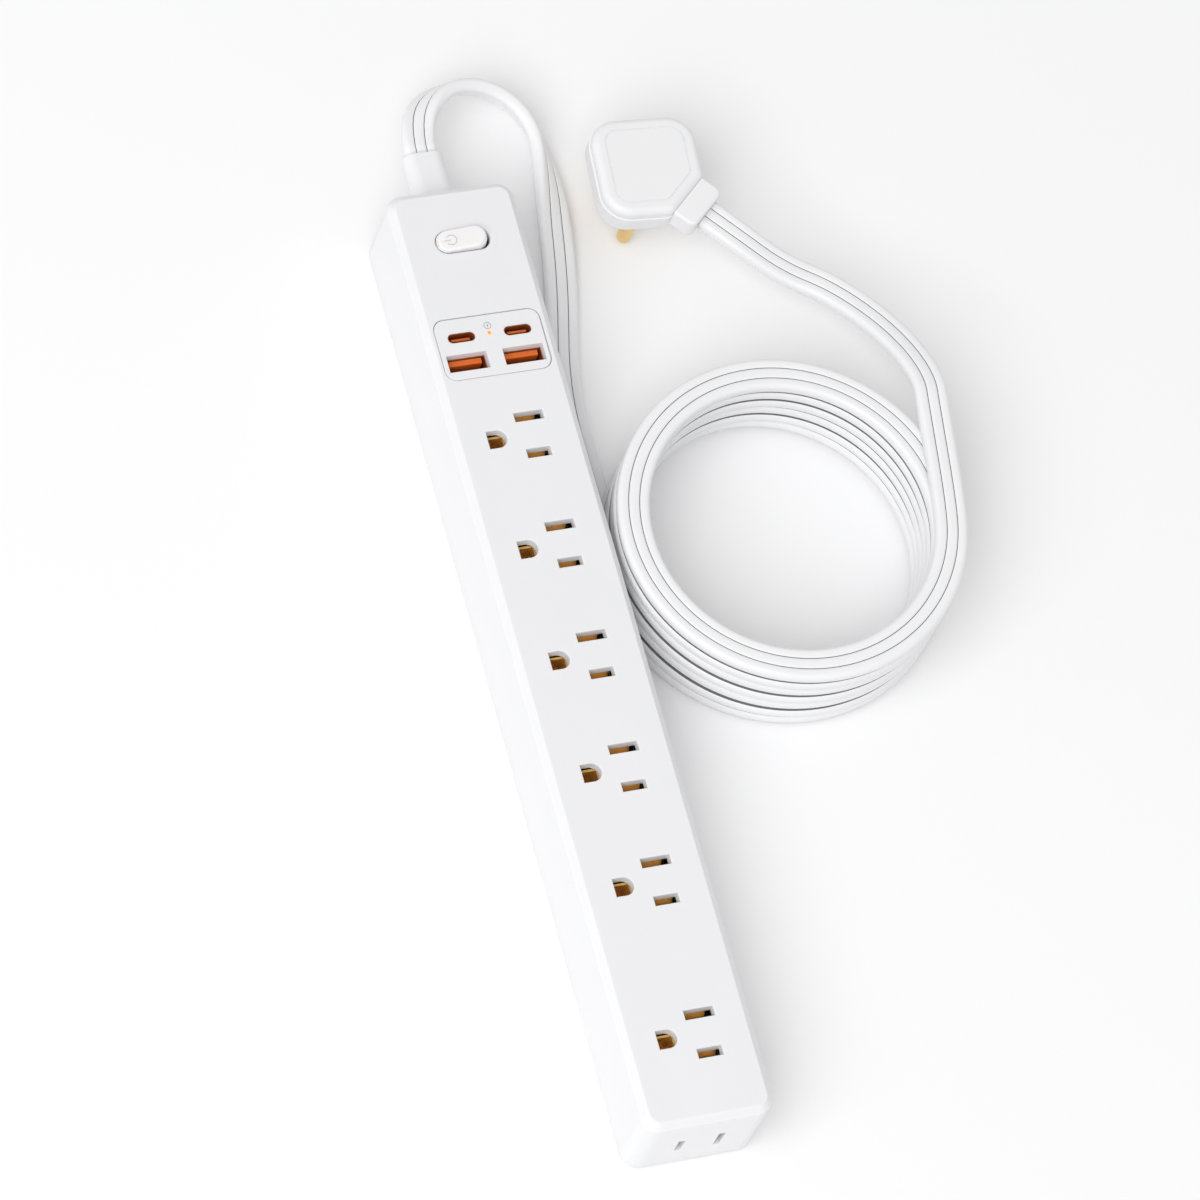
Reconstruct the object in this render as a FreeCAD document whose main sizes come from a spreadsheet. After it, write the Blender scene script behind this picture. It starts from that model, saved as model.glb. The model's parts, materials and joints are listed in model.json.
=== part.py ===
import FreeCAD, Part
import math
import os
import re

import Sketcher

# A six-outlet power strip with a rocker switch, four USB ports, a two-slot end outlet,
# a flat three-core cord wound into a coil, and a flat plug.
#
# Frame: the strip lies on its back. +Z is up, +Y points to the end that the cord leaves,
# +X is to the right, and the origin is the centre of the housing's underside.

V = FreeCAD.Vector
UP = V(0, 0, 1)
OUTLETS_IN_ROW = 5
SPRING_TURNS = 3

doc = FreeCAD.newDocument("power_strip")
sheet = doc.addObject("Spreadsheet::Sheet", "Sizes")
answers = doc.addObject("Spreadsheet::Sheet", "Answers")

# ---------------------------------------------------------------- driving dimensions, mm
sizes = {
    # housing
    "width": 41.9, "height": 34.2, "cover_wall": 2.0, "corner_radius": 5.5,
    "bevel": 2.2, "bevel_round": 0.5, "tray_height": 2.8, "tray_round": 2.0,
    "lip_height": 3.0, "lip_wall": 1.2, "fit_gap": 0.15,
    # outlets on the top face
    "cord_end_margin": 88.2, "outlet_pitch": 38.1, "last_gap": 50.2, "near_end_margin": 27.9,
    "blade_spacing": 12.7, "blade_row_x": 5.1, "ground_row_x": -6.8,
    "neutral_slot": 9.5, "live_slot": 7.9, "slot_width": 3.1, "ground_radius": 3.0,
    "ground_flat": 3.2, "mouth_chamfer": 0.2,
    "land_wide": 25.0, "land_deep": 1.6, "land_margin": 14.0,
    # two-slot outlet in the near end
    "end_outlet_z": 16.0, "end_neutral_slot": 9.0, "end_live_slot": 7.6, "end_slot_width": 2.1,
    # brass work
    "brass": 0.7, "contact_gap": 1.3, "contact_width": 6.4, "contact_level": 20.3,
    "contact_drop": 0.4, "lead_in": 1.2, "lead_in_deep": 2.1, "busbar_height": 5.0,
    "busbar_above_foot": 1.0, "neutral_bar_x": 11.6, "live_bar_x": -1.7, "ground_bar_x": -12.4,
    "ground_clip_gap": 5.2, "ground_clip_wide": 5.2, "bar_reach": 12.5, "carrier_wide": 25.8,
    "carrier_thick": 1.6, "carrier_margin": 11.0, "rib_thick": 0.5, "rib_drop": 2.0,
    "end_clip_long": 10.0, "end_clip_high": 9.4, "end_clip_back": 0.6, "end_arm_drop": 1.5,
    # rocker switch
    "switch_from_end": 18.8, "recess_long": 17.9, "recess_wide": 7.9, "recess_ease": 0.8,
    "rocker_long": 15.6, "rocker_wide": 7.3, "rocker_thick": 5.0, "rocker_proud": 1.7,
    "rocker_round": 0.7, "rocker_tilt": 7.0, "pivot_depth": 4.0, "pin_radius": 0.9, "pin_play": 0.05,
    "well_roof": 0.4, "skirt_long": 16.6, "skirt_high": 3.9, "skirt_reach": 9.05,
    "frame_long": 22.0, "frame_wide": 12.4, "frame_height": 13.5, "frame_wall": 1.3,
    "stem_side": 4.6, "stem_drop": 6.0, "plunger_radius": 1.15, "plunger_reach": 8.0,
    "plunger_long": 4.6, "plunger_play": 0.1, "spring_wire": 0.15, "lever_long": 9.6,
    "lever_wide": 4.0, "lever_thick": 0.8, "lever_gap": 0.3, "terminal_thick": 0.8,
    "terminal_wide": 4.8, "terminal_drop": 5.7, "terminal_play": 0.1, "load_terminal_gap": 0.3,
    "line_terminal_gap": 0.9,
    # USB panel
    "panel_from_end": 56.0, "panel_side_margin": 1.55, "panel_end_margin": 2.85, "panel_radius": 3.6,
    "panel_thick": 1.2, "panel_gap": 0.25, "panel_ledge": 1.0, "panel_soft": 0.3, "panel_boss": 2.0,
    "panel_boss_gap": 0.1, "port_floor_gap": 6.0, "port_offset_x": 9.25,
    "usb_c_above": 3.8, "usb_c_long": 8.9, "usb_c_wide": 3.2, "shell_wall": 0.3,
    "usb_a_below": 4.8, "usb_a_long": 13.1, "usb_a_wide": 5.7, "usb_c_inset": 0.25,
    "usb_a_inset": 3.0, "port_play": 0.1,
    "usb_c_tongue": 6.2, "usb_c_tongue_thick": 0.7, "usb_c_tongue_drop": 1.35,
    "usb_a_tongue": 10.8, "usb_a_tongue_thick": 1.8, "usb_a_tongue_y": 1.5, "usb_a_tongue_drop": 0.4,
    "light_above": 4.1, "light_radius": 0.6, "light_play": 0.02, "light_end_gap": 0.05,
    "led_radius": 1.5, "led_high": 5.0,
    "board_thick": 1.6, "board_level": 19.2, "board_side_gap": 0.5, "board_end_over": 0.5,
    "transformer_long": 13.0, "transformer_deep": 12.0, "transformer_high": 10.0, "transformer_x": -9.5,
    "capacitor_radius": 3.4, "capacitor_high": 9.0, "capacitor_x": 6.5, "capacitor_apart": 7.1,
    "capacitor_y": 4.0, "inductor_radius": 3.2, "inductor_high": 5.5, "inductor_x": 8.0, "inductor_y": -5.5,
    # surge protection
    "surge_board_long": 44.0, "surge_board_wide": 30.0, "board_stand": 2.2, "board_post_inset": 3.0,
    "varistor_radius": 3.8, "varistor_thick": 3.4, "varistor_apart": 8.6, "varistor_back": 14.0,
    "fuse_radius": 1.8, "fuse_long": 10.0, "fuse_ahead": 8.0, "fuse_lift": 2.0, "link_radius": 0.6,
    "link_play": 0.1,
    # cord entry
    "cord_below_switch": 1.7, "cord_wide": 10.5, "cord_thick": 4.5, "relief_long": 20.0,
    "relief_base_wide": 13.7, "relief_end_wide": 13.1, "relief_base_high": 9.0,
    "relief_end_high": 7.4, "relief_flange": 2.0, "relief_lip": 1.7, "relief_gap": 0.05,
    "clamp_long": 24.0, "clamp_deep": 6.0, "clamp_thick": 3.0, "clamp_screw_x": 9.6,
    "clamp_screw_bite": 7.0, "cradle_margin": 2.0, "jacket_long": 6.0,
    "wire_radius": 1.2, "wire_lift": 0.4, "wire_from_lip": 3.0, "core_pitch": 3.4,
    # coil of cord beside the strip
    "coil_gap": 2.5, "coil_outer": 56.0, "coil_height": 37.2, "coil_from_middle": 30.0,
    "coil_stub": 36.0, "cord_lift": 0.05, "lead_angle": -8.0,
    # plug
    "plug_x": 68.2, "plug_y": 159.0, "plug_turn": -4.0, "plug_side": 34.4, "plug_depth": 11.0,
    "plug_radius": 9.0, "plug_corner_cut": 12.5, "plug_cap_thick": 4.0, "plug_round": 1.6,
    "plug_front_round": 2.4, "plug_cut_round": 4.0, "plug_body_step": 0.5,
    "inset_side": 26.4, "inset_corner_cut": 9.5, "inset_groove": 0.5, "inset_deep": 0.35,
    "inset_round": 4.6, "inset_cut_round": 3.0, "core_side": 20.0, "core_thick": 2.2,
    "sleeve_long": 8.0, "sleeve_wide": 17.0, "sleeve_high": 8.0, "sleeve_corner": 2.6,
    "sleeve_round": 1.0,
    "blade_thick": 1.5, "blade_wide": 6.35, "neutral_blade_wide": 7.9, "blade_long": 17.5,
    "plug_blade_x": -4.0, "plug_blade_y": 2.0, "plug_ground_drop": 11.9,
    "ground_pin_radius": 2.35, "ground_pin_long": 20.5, "blade_root": 3.0,
    # screws
    "screw_radius": 1.4, "screw_head": 2.6, "head_thick": 1.4, "head_sink": 0.6,
    "screw_reach": 12.0, "screw_end_gap": 1.0, "screw_play": 0.2, "head_play": 0.3,
    "thread_play": 0.02, "boss_radius": 3.0, "post_radius": 2.6, "screw_side_x": 16.1,
    "screw_row_inset": 9.5,
    # hanging keyholes in the underside
    "keyhole_y": 110.0, "keyhole_radius": 4.0, "keyhole_slot": 4.0, "keyhole_long": 8.0,
}

# sizes worked out from the driving ones
derived = {
    "length": "cord_end_margin + 4 * outlet_pitch + last_gap + near_end_margin",
    "inside_x": "width / 2 - cover_wall",
    "inside_y": "length / 2 - cover_wall",
    "inside_top": "height - cover_wall",
    "first_outlet": "length / 2 - cord_end_margin",
    "last_outlet": "length / 2 - cord_end_margin - 4 * outlet_pitch - last_gap",
    "panel_wide": "2 * port_offset_x + usb_a_long + 2 * panel_side_margin",
    "panel_deep": "2 * (usb_a_below + usb_a_wide / 2 + panel_end_margin)",
    "surge_y": "length / 2 - cord_end_margin - outlet_pitch / 2",
    "clamp_y": "length / 2 - cover_wall - relief_flange - jacket_long / 2",
    "switch_y": "length / 2 - switch_from_end",
    "pivot_z": "height - pivot_depth",
    "panel_y": "length / 2 - panel_from_end",
    "usb_c_y": "length / 2 - panel_from_end + usb_c_above",
    "usb_a_y": "length / 2 - panel_from_end - usb_a_below",
    "board_top": "board_level",
    "usb_depth": "height - board_level - port_floor_gap",
    "contact_top": "height - cover_wall - land_deep - contact_drop",
    "contact_base": "contact_level",
    "contact_height": "height - cover_wall - land_deep - contact_drop - contact_level",
    "end_clip_y": "cover_wall - length / 2 + end_clip_back + end_clip_long / 2",
    "bar_start": "end_clip_y + end_clip_long / 2 - brass",
    "frame_floor": "height - cover_wall - frame_height + frame_wall",
    "lever_z": "height - pivot_depth - plunger_reach - lever_gap - lever_thick",
    "stem_foot": "height + rocker_proud - rocker_thick - stem_drop",
    "well_top": "height - pivot_depth - pin_radius - pin_play - well_roof",
    "carrier_top": "contact_level - busbar_height + busbar_above_foot",
    "cord_z": "height - cover_wall - frame_height - cord_below_switch",
    "coil_x": "width / 2 + coil_gap + coil_outer",
    "coil_mean": "coil_outer - cord_wide / 2",
    "coil_inner": "coil_outer - cord_wide",
    "strand_z": "cord_thick / 2 + cord_lift",
    "lead_z": "coil_height - cord_thick / 2",
    "plug_rear": "ground_pin_long",
    "plug_cord_z": "ground_pin_long + plug_depth / 2",
}


# ---------------------------------------------------------------- sheet and expressions
def fill_sheet():
    cells = list(sizes.items()) + [(name, "=" + formula) for name, formula in derived.items()]
    for row, (name, content) in enumerate(cells, start=1):
        sheet.set("A%d" % row, name)
        sheet.set("B%d" % row, str(content))
        sheet.setAlias("B%d" % row, name)
    doc.recompute()


def expression(text):
    words = re.split(r"(\W+)", str(text))
    return "".join("Sizes." + word if word in sizes or word in derived else word for word in words)


def bind(obj, **texts):
    for name, text in texts.items():
        obj.setExpression(name, expression(text))


def place(obj, at):
    for axis, text in zip("xyz", at):
        obj.setExpression("Placement.Base." + axis, expression(text))


def worth(text):
    """The number that an expression stands for now."""
    answers.set("A1", "=" + expression(text))
    answers.recompute()
    return float(answers.get("A1"))


fill_sheet()
size = {name: float(sheet.get(name)) for name in list(sizes) + list(derived)}
nodes = {}


def node(name, obj):
    obj.Label = name
    nodes[name] = obj
    return obj


# ---------------------------------------------------------------- primitives and booleans
def block(name, sides, at):
    """A box whose centre in X and Y, and whose base in Z, is at."""
    obj = doc.addObject("Part::Box", name)
    bind(obj, Length=sides[0], Width=sides[1], Height=sides[2])
    place(obj, ("(%s) - (%s) / 2" % (at[0], sides[0]), "(%s) - (%s) / 2" % (at[1], sides[1]), at[2]))
    return obj


def rod(name, radius, length, at, axis="Z"):
    """A cylinder that starts at a point and runs along +X, +Y or +Z."""
    obj = doc.addObject("Part::Cylinder", name)
    turns = {"X": FreeCAD.Rotation(V(0, 1, 0), 90), "Y": FreeCAD.Rotation(V(1, 0, 0), -90),
             "Z": FreeCAD.Rotation()}
    obj.Placement.Rotation = turns[axis]
    bind(obj, Radius=radius, Height=length)
    place(obj, at)
    return obj


def fuse(name, pieces):
    obj = doc.addObject("Part::MultiFuse", name)
    obj.Shapes = pieces
    obj.Refine = True
    return obj


def group(name, pieces):
    obj = doc.addObject("Part::Compound", name)
    obj.Links = pieces
    return obj


def cut(name, base, tools):
    obj = doc.addObject("Part::Cut", name)
    obj.Base = base
    obj.Tool = tools[0] if len(tools) == 1 else fuse(name + "_tools", tools)
    return obj


def pill(name, long, wide, high, at):
    """A slot-shaped block, long in X, standing in Z on its base."""
    reach = "((%s) - (%s)) / 2" % (long, wide)
    middle = block(name + "_middle", ("2 * " + reach, wide, high), at)
    ends = []
    for side, sign in (("left", "-"), ("right", "+")):
        centre = ("(%s) %s %s" % (at[0], sign, reach), at[1], at[2])
        ends.append(rod(name + "_" + side, "(%s) / 2" % wide, high, centre))
    return fuse(name, [middle] + ends)


# ---------------------------------------------------------------- bodies and sketches
def origin_plane(body, role):
    return next(item for item in body.Origin.OriginFeatures if item.Role == role)


def new_body(name):
    return doc.addObject("PartDesign::Body", name)


def new_sketch(body, name, offset, role="XY_Plane"):
    sketch = body.newObject("Sketcher::SketchObject", name)
    sketch.AttachmentSupport = [(origin_plane(body, role), "")]
    sketch.MapMode = "FlatFace"
    sketch.setExpression("AttachmentOffset.Base.z", expression(offset))
    return sketch


def fix_size(sketch, constraint, text):
    index = sketch.addConstraint(constraint)
    sketch.setExpression("Constraints[%d]" % index, expression(text))


def polygon(sketch, corners):
    """A closed outline through corners given as pairs of expressions."""
    points = [V(worth(x), worth(y), 0) for x, y in corners]
    first = sketch.GeometryCount
    count = len(points)
    for index in range(count):
        sketch.addGeometry(Part.LineSegment(points[index], points[(index + 1) % count]), False)
    for index in range(count):
        following = first + (index + 1) % count
        sketch.addConstraint(Sketcher.Constraint("Coincident", first + index, 2, following, 1))
    for index, (x, y) in enumerate(corners):
        spot = first + index
        fix_size(sketch, Sketcher.Constraint("DistanceX", -1, 1, spot, 1, points[index].x), x)
        fix_size(sketch, Sketcher.Constraint("DistanceY", -1, 1, spot, 1, points[index].y), y)


def rectangle(sketch, centre, wide, deep):
    x, y = centre
    left, right = "(%s) - (%s) / 2" % (x, wide), "(%s) + (%s) / 2" % (x, wide)
    low, high = "(%s) - (%s) / 2" % (y, deep), "(%s) + (%s) / 2" % (y, deep)
    polygon(sketch, [(left, low), (right, low), (right, high), (left, high)])


def pad(body, name, sketch, length, downwards=False):
    feature = body.newObject("PartDesign::Pad", name)
    feature.Profile = sketch
    feature.Reversed = downwards
    bind(feature, Length=length)
    doc.recompute()
    return feature


def pocket(body, name, sketch, length, along_normal=False):
    """A pocket cuts against its sketch's normal, or along it."""
    before = body.Shape.Volume
    feature = body.newObject("PartDesign::Pocket", name)
    feature.Profile = sketch
    feature.Reversed = along_normal
    bind(feature, Length=length)
    doc.recompute()
    if body.Shape.Volume > before - 0.01:
        raise RuntimeError(name + " cuts nothing")
    return feature


def edge_names(body, wanted):
    edges = body.Shape.Edges
    return ["Edge%d" % (index + 1) for index, edge in enumerate(edges) if wanted(edge)]


def dress(body, kind, name, wanted, bound):
    """A fillet or chamfer on the body's edges that a test picks out."""
    base = body.Tip
    names = edge_names(body, wanted)
    if not names:
        raise RuntimeError(name + " finds no edge")
    feature = body.newObject("PartDesign::" + kind, name)
    feature.Base = (base, names)
    bind(feature, **bound)
    doc.recompute()
    return feature


def upright(edge):
    box = edge.BoundBox
    return box.XLength < 1e-4 and box.YLength < 1e-4


def level_at(height):
    def test(edge):
        box = edge.BoundBox
        return abs(box.ZMin - height) < 1e-3 and abs(box.ZMax - height) < 1e-3
    return test


def outlet_y(index):
    if index < OUTLETS_IN_ROW:
        return "first_outlet - %d * outlet_pitch" % index
    return "last_outlet"


# ---------------------------------------------------------------- housing
SCREW_ROWS = ["length / 2 - screw_row_inset", "first_outlet - 2.5 * outlet_pitch",
              "screw_row_inset - length / 2"]


def screw_spots():
    return [(sign + "screw_side_x", row) for row in SCREW_ROWS for sign in ("-", "")]


def outlet_outlines(sketch, row):
    """The three holes of one outlet: wide slot, narrow slot and D-shaped ground hole."""
    rectangle(sketch, ("blade_row_x", row + " + blade_spacing / 2"), "neutral_slot", "slot_width")
    rectangle(sketch, ("blade_row_x", row + " - blade_spacing / 2"), "live_slot", "slot_width")
    radius = size["ground_radius"]
    x, y = size["ground_row_x"], worth(row)
    flat = x - worth("ground_flat")
    first = sketch.GeometryCount
    sketch.addGeometry(Part.LineSegment(V(x, y + radius, 0), V(flat, y + radius, 0)), False)
    sketch.addGeometry(Part.LineSegment(V(flat, y + radius, 0), V(flat, y - radius, 0)), False)
    sketch.addGeometry(Part.LineSegment(V(flat, y - radius, 0), V(x, y - radius, 0)), False)
    circle = Part.Circle(V(x, y, 0), UP, radius)
    sketch.addGeometry(Part.ArcOfCircle(circle, -math.pi / 2, math.pi / 2), False)
    arc = first + 3
    for line in (first, first + 1):
        sketch.addConstraint(Sketcher.Constraint("Coincident", line, 2, line + 1, 1))
    sketch.addConstraint(Sketcher.Constraint("Coincident", first + 2, 2, arc, 1))
    sketch.addConstraint(Sketcher.Constraint("Coincident", arc, 2, first, 1))
    sketch.addConstraint(Sketcher.Constraint("Horizontal", first))
    sketch.addConstraint(Sketcher.Constraint("Vertical", first + 1))
    sketch.addConstraint(Sketcher.Constraint("Horizontal", first + 2))
    fix_size(sketch, Sketcher.Constraint("DistanceX", -1, 1, arc, 3, x), "ground_row_x")
    fix_size(sketch, Sketcher.Constraint("DistanceY", -1, 1, arc, 3, y), row)
    fix_size(sketch, Sketcher.Constraint("Radius", arc, radius), "ground_radius")
    fix_size(sketch, Sketcher.Constraint("DistanceX", -1, 1, arc, 1, x), "ground_row_x")
    fix_size(sketch, Sketcher.Constraint("DistanceX", -1, 1, arc, 2, x), "ground_row_x")
    fix_size(sketch, Sketcher.Constraint("DistanceX", -1, 1, first + 1, 1, flat),
             "ground_row_x - ground_flat")


def make_top_cover():
    body = new_body("cover_shell")
    outline = new_sketch(body, "cover_outline", "tray_height")
    rectangle(outline, ("0", "0"), "width", "length")
    pad(body, "cover_block", outline, "height - tray_height")
    dress(body, "Fillet", "cover_corners", upright, {"Radius": "corner_radius"})
    dress(body, "Chamfer", "cover_bevel", level_at(size["height"]), {"Size": "bevel"})
    tops = (level_at(size["height"]), level_at(size["height"] - size["bevel"]))
    dress(body, "Fillet", "cover_soft_edges", lambda edge: tops[0](edge) or tops[1](edge),
          {"Radius": "bevel_round"})
    hollow = new_sketch(body, "cover_hollow", "tray_height")
    rectangle(hollow, ("0", "0"), "2 * inside_x", "2 * inside_y")
    pocket(body, "cover_inside", hollow, "inside_top - tray_height", along_normal=True)
    land = new_sketch(body, "land_outline", "inside_top")
    rectangle(land, ("0", "(first_outlet + last_outlet) / 2"), "land_wide",
              "first_outlet - last_outlet + 2 * land_margin")
    pad(body, "outlet_land", land, "land_deep", downwards=True)
    row = new_sketch(body, "outlet_outlines", "height")
    outlet_outlines(row, "first_outlet")
    holes = pocket(body, "outlet_holes", row, "cover_wall + land_deep + 1")
    pattern = body.newObject("PartDesign::LinearPattern", "outlet_row")
    pattern.Originals = [holes]
    pattern.Direction = (row, ["V_Axis"])
    pattern.Reversed = True
    pattern.Occurrences = OUTLETS_IN_ROW
    bind(pattern, Length="4 * outlet_pitch")
    body.Tip = pattern
    doc.recompute()
    last = new_sketch(body, "last_outlet_outlines", "height")
    outlet_outlines(last, "last_outlet")
    pocket(body, "last_outlet_holes", last, "cover_wall + land_deep + 1")
    limit = size["first_outlet"] + size["outlet_pitch"] / 2
    top = level_at(size["height"])
    inner = size["width"] / 2 - size["bevel"] - 1

    def mouth(edge):
        box = edge.BoundBox
        return top(edge) and box.YMax < limit and max(abs(box.XMin), abs(box.XMax)) < inner \
            and box.YMin > -size["length"] / 2 + size["bevel"] + 1
    dress(body, "Chamfer", "outlet_mouths", mouth, {"Size": "mouth_chamfer"})
    seat = new_sketch(body, "panel_seat", "height")
    rectangle(seat, ("0", "panel_y"), "panel_wide + 2 * panel_gap", "panel_deep + 2 * panel_gap")
    pocket(body, "panel_recess", seat, "panel_thick")
    through = new_sketch(body, "panel_opening_outline", "height")
    rectangle(through, ("0", "panel_y"), "panel_wide - 2 * panel_ledge", "panel_deep - 2 * panel_ledge")
    pocket(body, "panel_opening", through, "cover_wall + 1")
    seat_half = size["panel_wide"] / 2 + size["panel_gap"]

    def seat_corner(edge):
        box = edge.BoundBox
        return upright(edge) and abs(abs(box.XMin) - seat_half) < 1e-3 \
            and abs(box.ZLength - size["panel_thick"]) < 1e-3
    dress(body, "Fillet", "panel_recess_corners", seat_corner, {"Radius": "panel_radius + panel_gap"})
    bosses = new_sketch(body, "boss_outlines", "tray_height + lip_height + fit_gap")
    for x, y in screw_spots():
        circle_at(bosses, x, y, "boss_radius")
    pad(body, "screw_bosses", bosses, "inside_top - tray_height - lip_height - fit_gap")
    tools = [pill("recess_cut", "recess_long", "recess_wide", "cover_wall + 2",
                  ("0", "switch_y", "inside_top - 1"))]
    for name, x, long in (("neutral", "blade_spacing / 2", "end_neutral_slot"),
                          ("live", "-blade_spacing / 2", "end_live_slot")):
        tools.append(block("end_%s_cut" % name, ("end_slot_width", "cover_wall + 2", long),
                           (x, "-length / 2", "end_outlet_z - (%s) / 2" % long)))
    tools.append(cord_pill("relief_hole", "relief_base_wide + 2 * relief_gap",
                           "relief_base_high + 2 * relief_gap", "inside_y - 1", "cover_wall + 2"))
    for index, (x, y) in enumerate(screw_spots()):
        tools.append(rod("boss_hole_%d" % index, "screw_radius", "screw_reach",
                         (x, y, "tray_height")))
    raw = cut("cover_raw", body, tools)
    doc.recompute()
    near = size["switch_y"] - size["recess_wide"]
    far = size["switch_y"] + size["recess_wide"]
    rim = [index + 1 for index, edge in enumerate(raw.Shape.Edges)
           if top(edge) and near < edge.BoundBox.YMin and edge.BoundBox.YMax < far
           and edge.BoundBox.XLength < size["recess_long"] + 1]
    eased = doc.addObject("Part::Fillet", "top_cover")
    eased.Base = raw
    eased.Edges = [(number, size["recess_ease"], size["recess_ease"]) for number in rim]
    return node("top_cover", eased)


def circle_at(sketch, x, y, radius):
    spot = sketch.addGeometry(Part.Circle(V(worth(x), worth(y), 0), UP, worth(radius)), False)
    fix_size(sketch, Sketcher.Constraint("DistanceX", -1, 1, spot, 3, worth(x)), x)
    fix_size(sketch, Sketcher.Constraint("DistanceY", -1, 1, spot, 3, worth(y)), y)
    fix_size(sketch, Sketcher.Constraint("Radius", spot, worth(radius)), radius)


def cord_pill(name, wide, high, start_y, long):
    """A slot-shaped prism along +Y, wide in X, centred on the cord's height."""
    reach = "((%s) - (%s)) / 2" % (wide, high)
    middle = block(name + "_middle", ("2 * " + reach, long, high),
                   ("0", "(%s) + (%s) / 2" % (start_y, long), "cord_z - (%s) / 2" % high))
    ends = [rod(name + "_" + side, "(%s) / 2" % high, long, (sign + reach, start_y, "cord_z"), "Y")
            for side, sign in (("left", "-"), ("right", ""))]
    return fuse(name, [middle] + ends)


def make_base_tray():
    body = new_body("tray_shell")
    outline = new_sketch(body, "tray_outline", "0")
    rectangle(outline, ("0", "0"), "width", "length")
    pad(body, "tray_plate", outline, "tray_height")
    dress(body, "Fillet", "tray_corners", upright, {"Radius": "corner_radius"})
    dress(body, "Fillet", "tray_soft_edge", level_at(0), {"Radius": "tray_round"})
    lip = new_sketch(body, "lip_outline", "tray_height")
    rectangle(lip, ("0", "0"), "2 * (inside_x - fit_gap)", "2 * (inside_y - fit_gap)")
    rectangle(lip, ("0", "0"), "2 * (inside_x - fit_gap - lip_wall)", "2 * (inside_y - fit_gap - lip_wall)")
    pad(body, "tray_lip", lip, "lip_height")
    rise = "cord_z - cord_thick / 2 - tray_height"
    posts = [block("cord_cradle", ("cord_wide + 2 * cradle_margin", "clamp_deep", rise),
                   ("0", "clamp_y", "tray_height"))]
    for index, (x, y) in enumerate(screw_spots()):
        posts.append(rod("tray_post_%d" % index, "post_radius", "lip_height", (x, y, "tray_height")))
    for index, x in enumerate(("-clamp_screw_x", "clamp_screw_x")):
        posts.append(rod("clamp_post_%d" % index, "post_radius", rise, (x, "clamp_y", "tray_height")))
    for index, (x, y) in enumerate(board_corners()):
        posts.append(rod("board_post_%d" % index, "post_radius", "board_stand", (x, y, "tray_height")))
    flange_wide = "relief_base_wide + 2 * (relief_lip + fit_gap)"
    tools = [block("relief_room", (flange_wide, "2 * relief_flange", "height"),
                   ("0", "inside_y", "cord_z - relief_base_high / 2 - relief_lip - fit_gap"))]
    for index, (x, y) in enumerate(screw_spots()):
        tools.append(rod("tray_hole_%d" % index, "screw_radius + screw_play",
                         "tray_height + lip_height + 2", (x, y, "-1")))
        tools.append(rod("tray_counterbore_%d" % index, "screw_head + head_play", "tray_height",
                         (x, y, "-head_sink")))
    for index, x in enumerate(("-clamp_screw_x", "clamp_screw_x")):
        tools.append(rod("clamp_hole_%d" % index, "screw_radius", "clamp_screw_bite + 3",
                         (x, "clamp_y", "cord_z - cord_thick / 2 - clamp_screw_bite - 2")))
    for index, y in enumerate(("-keyhole_y", "keyhole_y")):
        tools.append(rod("keyhole_head_%d" % index, "keyhole_radius", "tray_height + 2", ("0", y, "-1")))
        tools.append(block("keyhole_slot_%d" % index, ("keyhole_slot", "keyhole_long", "tray_height + 2"),
                           ("0", y + " + keyhole_long / 2", "-1")))
    solid = fuse("tray_solid", [body] + posts)
    return node("base_tray", cut("base_tray", solid, tools))


def board_corners():
    across, along = "(surge_board_wide / 2 - board_post_inset)", "(surge_board_long / 2 - board_post_inset)"
    return [(side + across, "surge_y %s %s" % (end, along)) for side in ("-", "") for end in ("-", "+")]


def make_housing_screws():
    screws = []
    for index, (x, y) in enumerate(screw_spots()):
        head = rod("screw_head_%d" % index, "screw_head", "head_thick",
                   (x, y, "tray_height - head_sink - head_thick"))
        shank = rod("screw_shank_%d" % index, "screw_radius - thread_play",
                    "screw_reach + head_sink - screw_end_gap", (x, y, "tray_height - head_sink"))
        screws.append(fuse("screw_%d" % index, [head, shank]))
    return node("housing_screws", group("housing_screws", screws))


# ---------------------------------------------------------------- outlet contacts
ALL_OUTLETS = range(OUTLETS_IN_ROW + 1)
CONTACT_DEEP = "contact_gap + 2 * brass"


def blade_contacts(name, side):
    """Upright U-shaped clips, one behind each slot of one row."""
    clips = []
    for index in ALL_OUTLETS:
        y = "%s %s blade_spacing / 2" % (outlet_y(index), side)
        outer = block("%s_outer_%d" % (name, index), ("contact_width", CONTACT_DEEP, "contact_height"),
                      ("blade_row_x", y, "contact_base"))
        space = block("%s_space_%d" % (name, index), ("contact_width + 1", "contact_gap", "contact_height"),
                      ("blade_row_x", y, "contact_base + brass"))
        mouth = ("blade_row_x", y, "contact_top - lead_in_deep")
        flared = flare("%s_mouth_%d" % (name, index), "contact_width", CONTACT_DEEP, mouth)
        funnel = flare("%s_funnel_%d" % (name, index), "contact_width + 1", "contact_gap", mouth)
        clips.append(cut("%s_%d" % (name, index), fuse("%s_leaves_%d" % (name, index), [outer, flared]),
                         [space, funnel]))
    return node(name, group(name, clips))


def flare(name, wide, deep, at):
    """The flared mouth of a clip, wider in Y towards its top."""
    obj = doc.addObject("Part::Wedge", name)
    obj.Placement.Rotation = FreeCAD.Rotation(V(1, 0, 0), 90)
    bind(obj, Xmin="-(%s) / 2" % wide, Xmax="(%s) / 2" % wide, X2min="-(%s) / 2" % wide,
         X2max="(%s) / 2" % wide, Ymin="0", Ymax="lead_in_deep",
         Zmin="-(%s) / 2" % deep, Zmax="(%s) / 2" % deep,
         Z2min="-(%s) / 2 - lead_in" % deep, Z2max="(%s) / 2 + lead_in" % deep)
    place(obj, at)
    return obj


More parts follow.
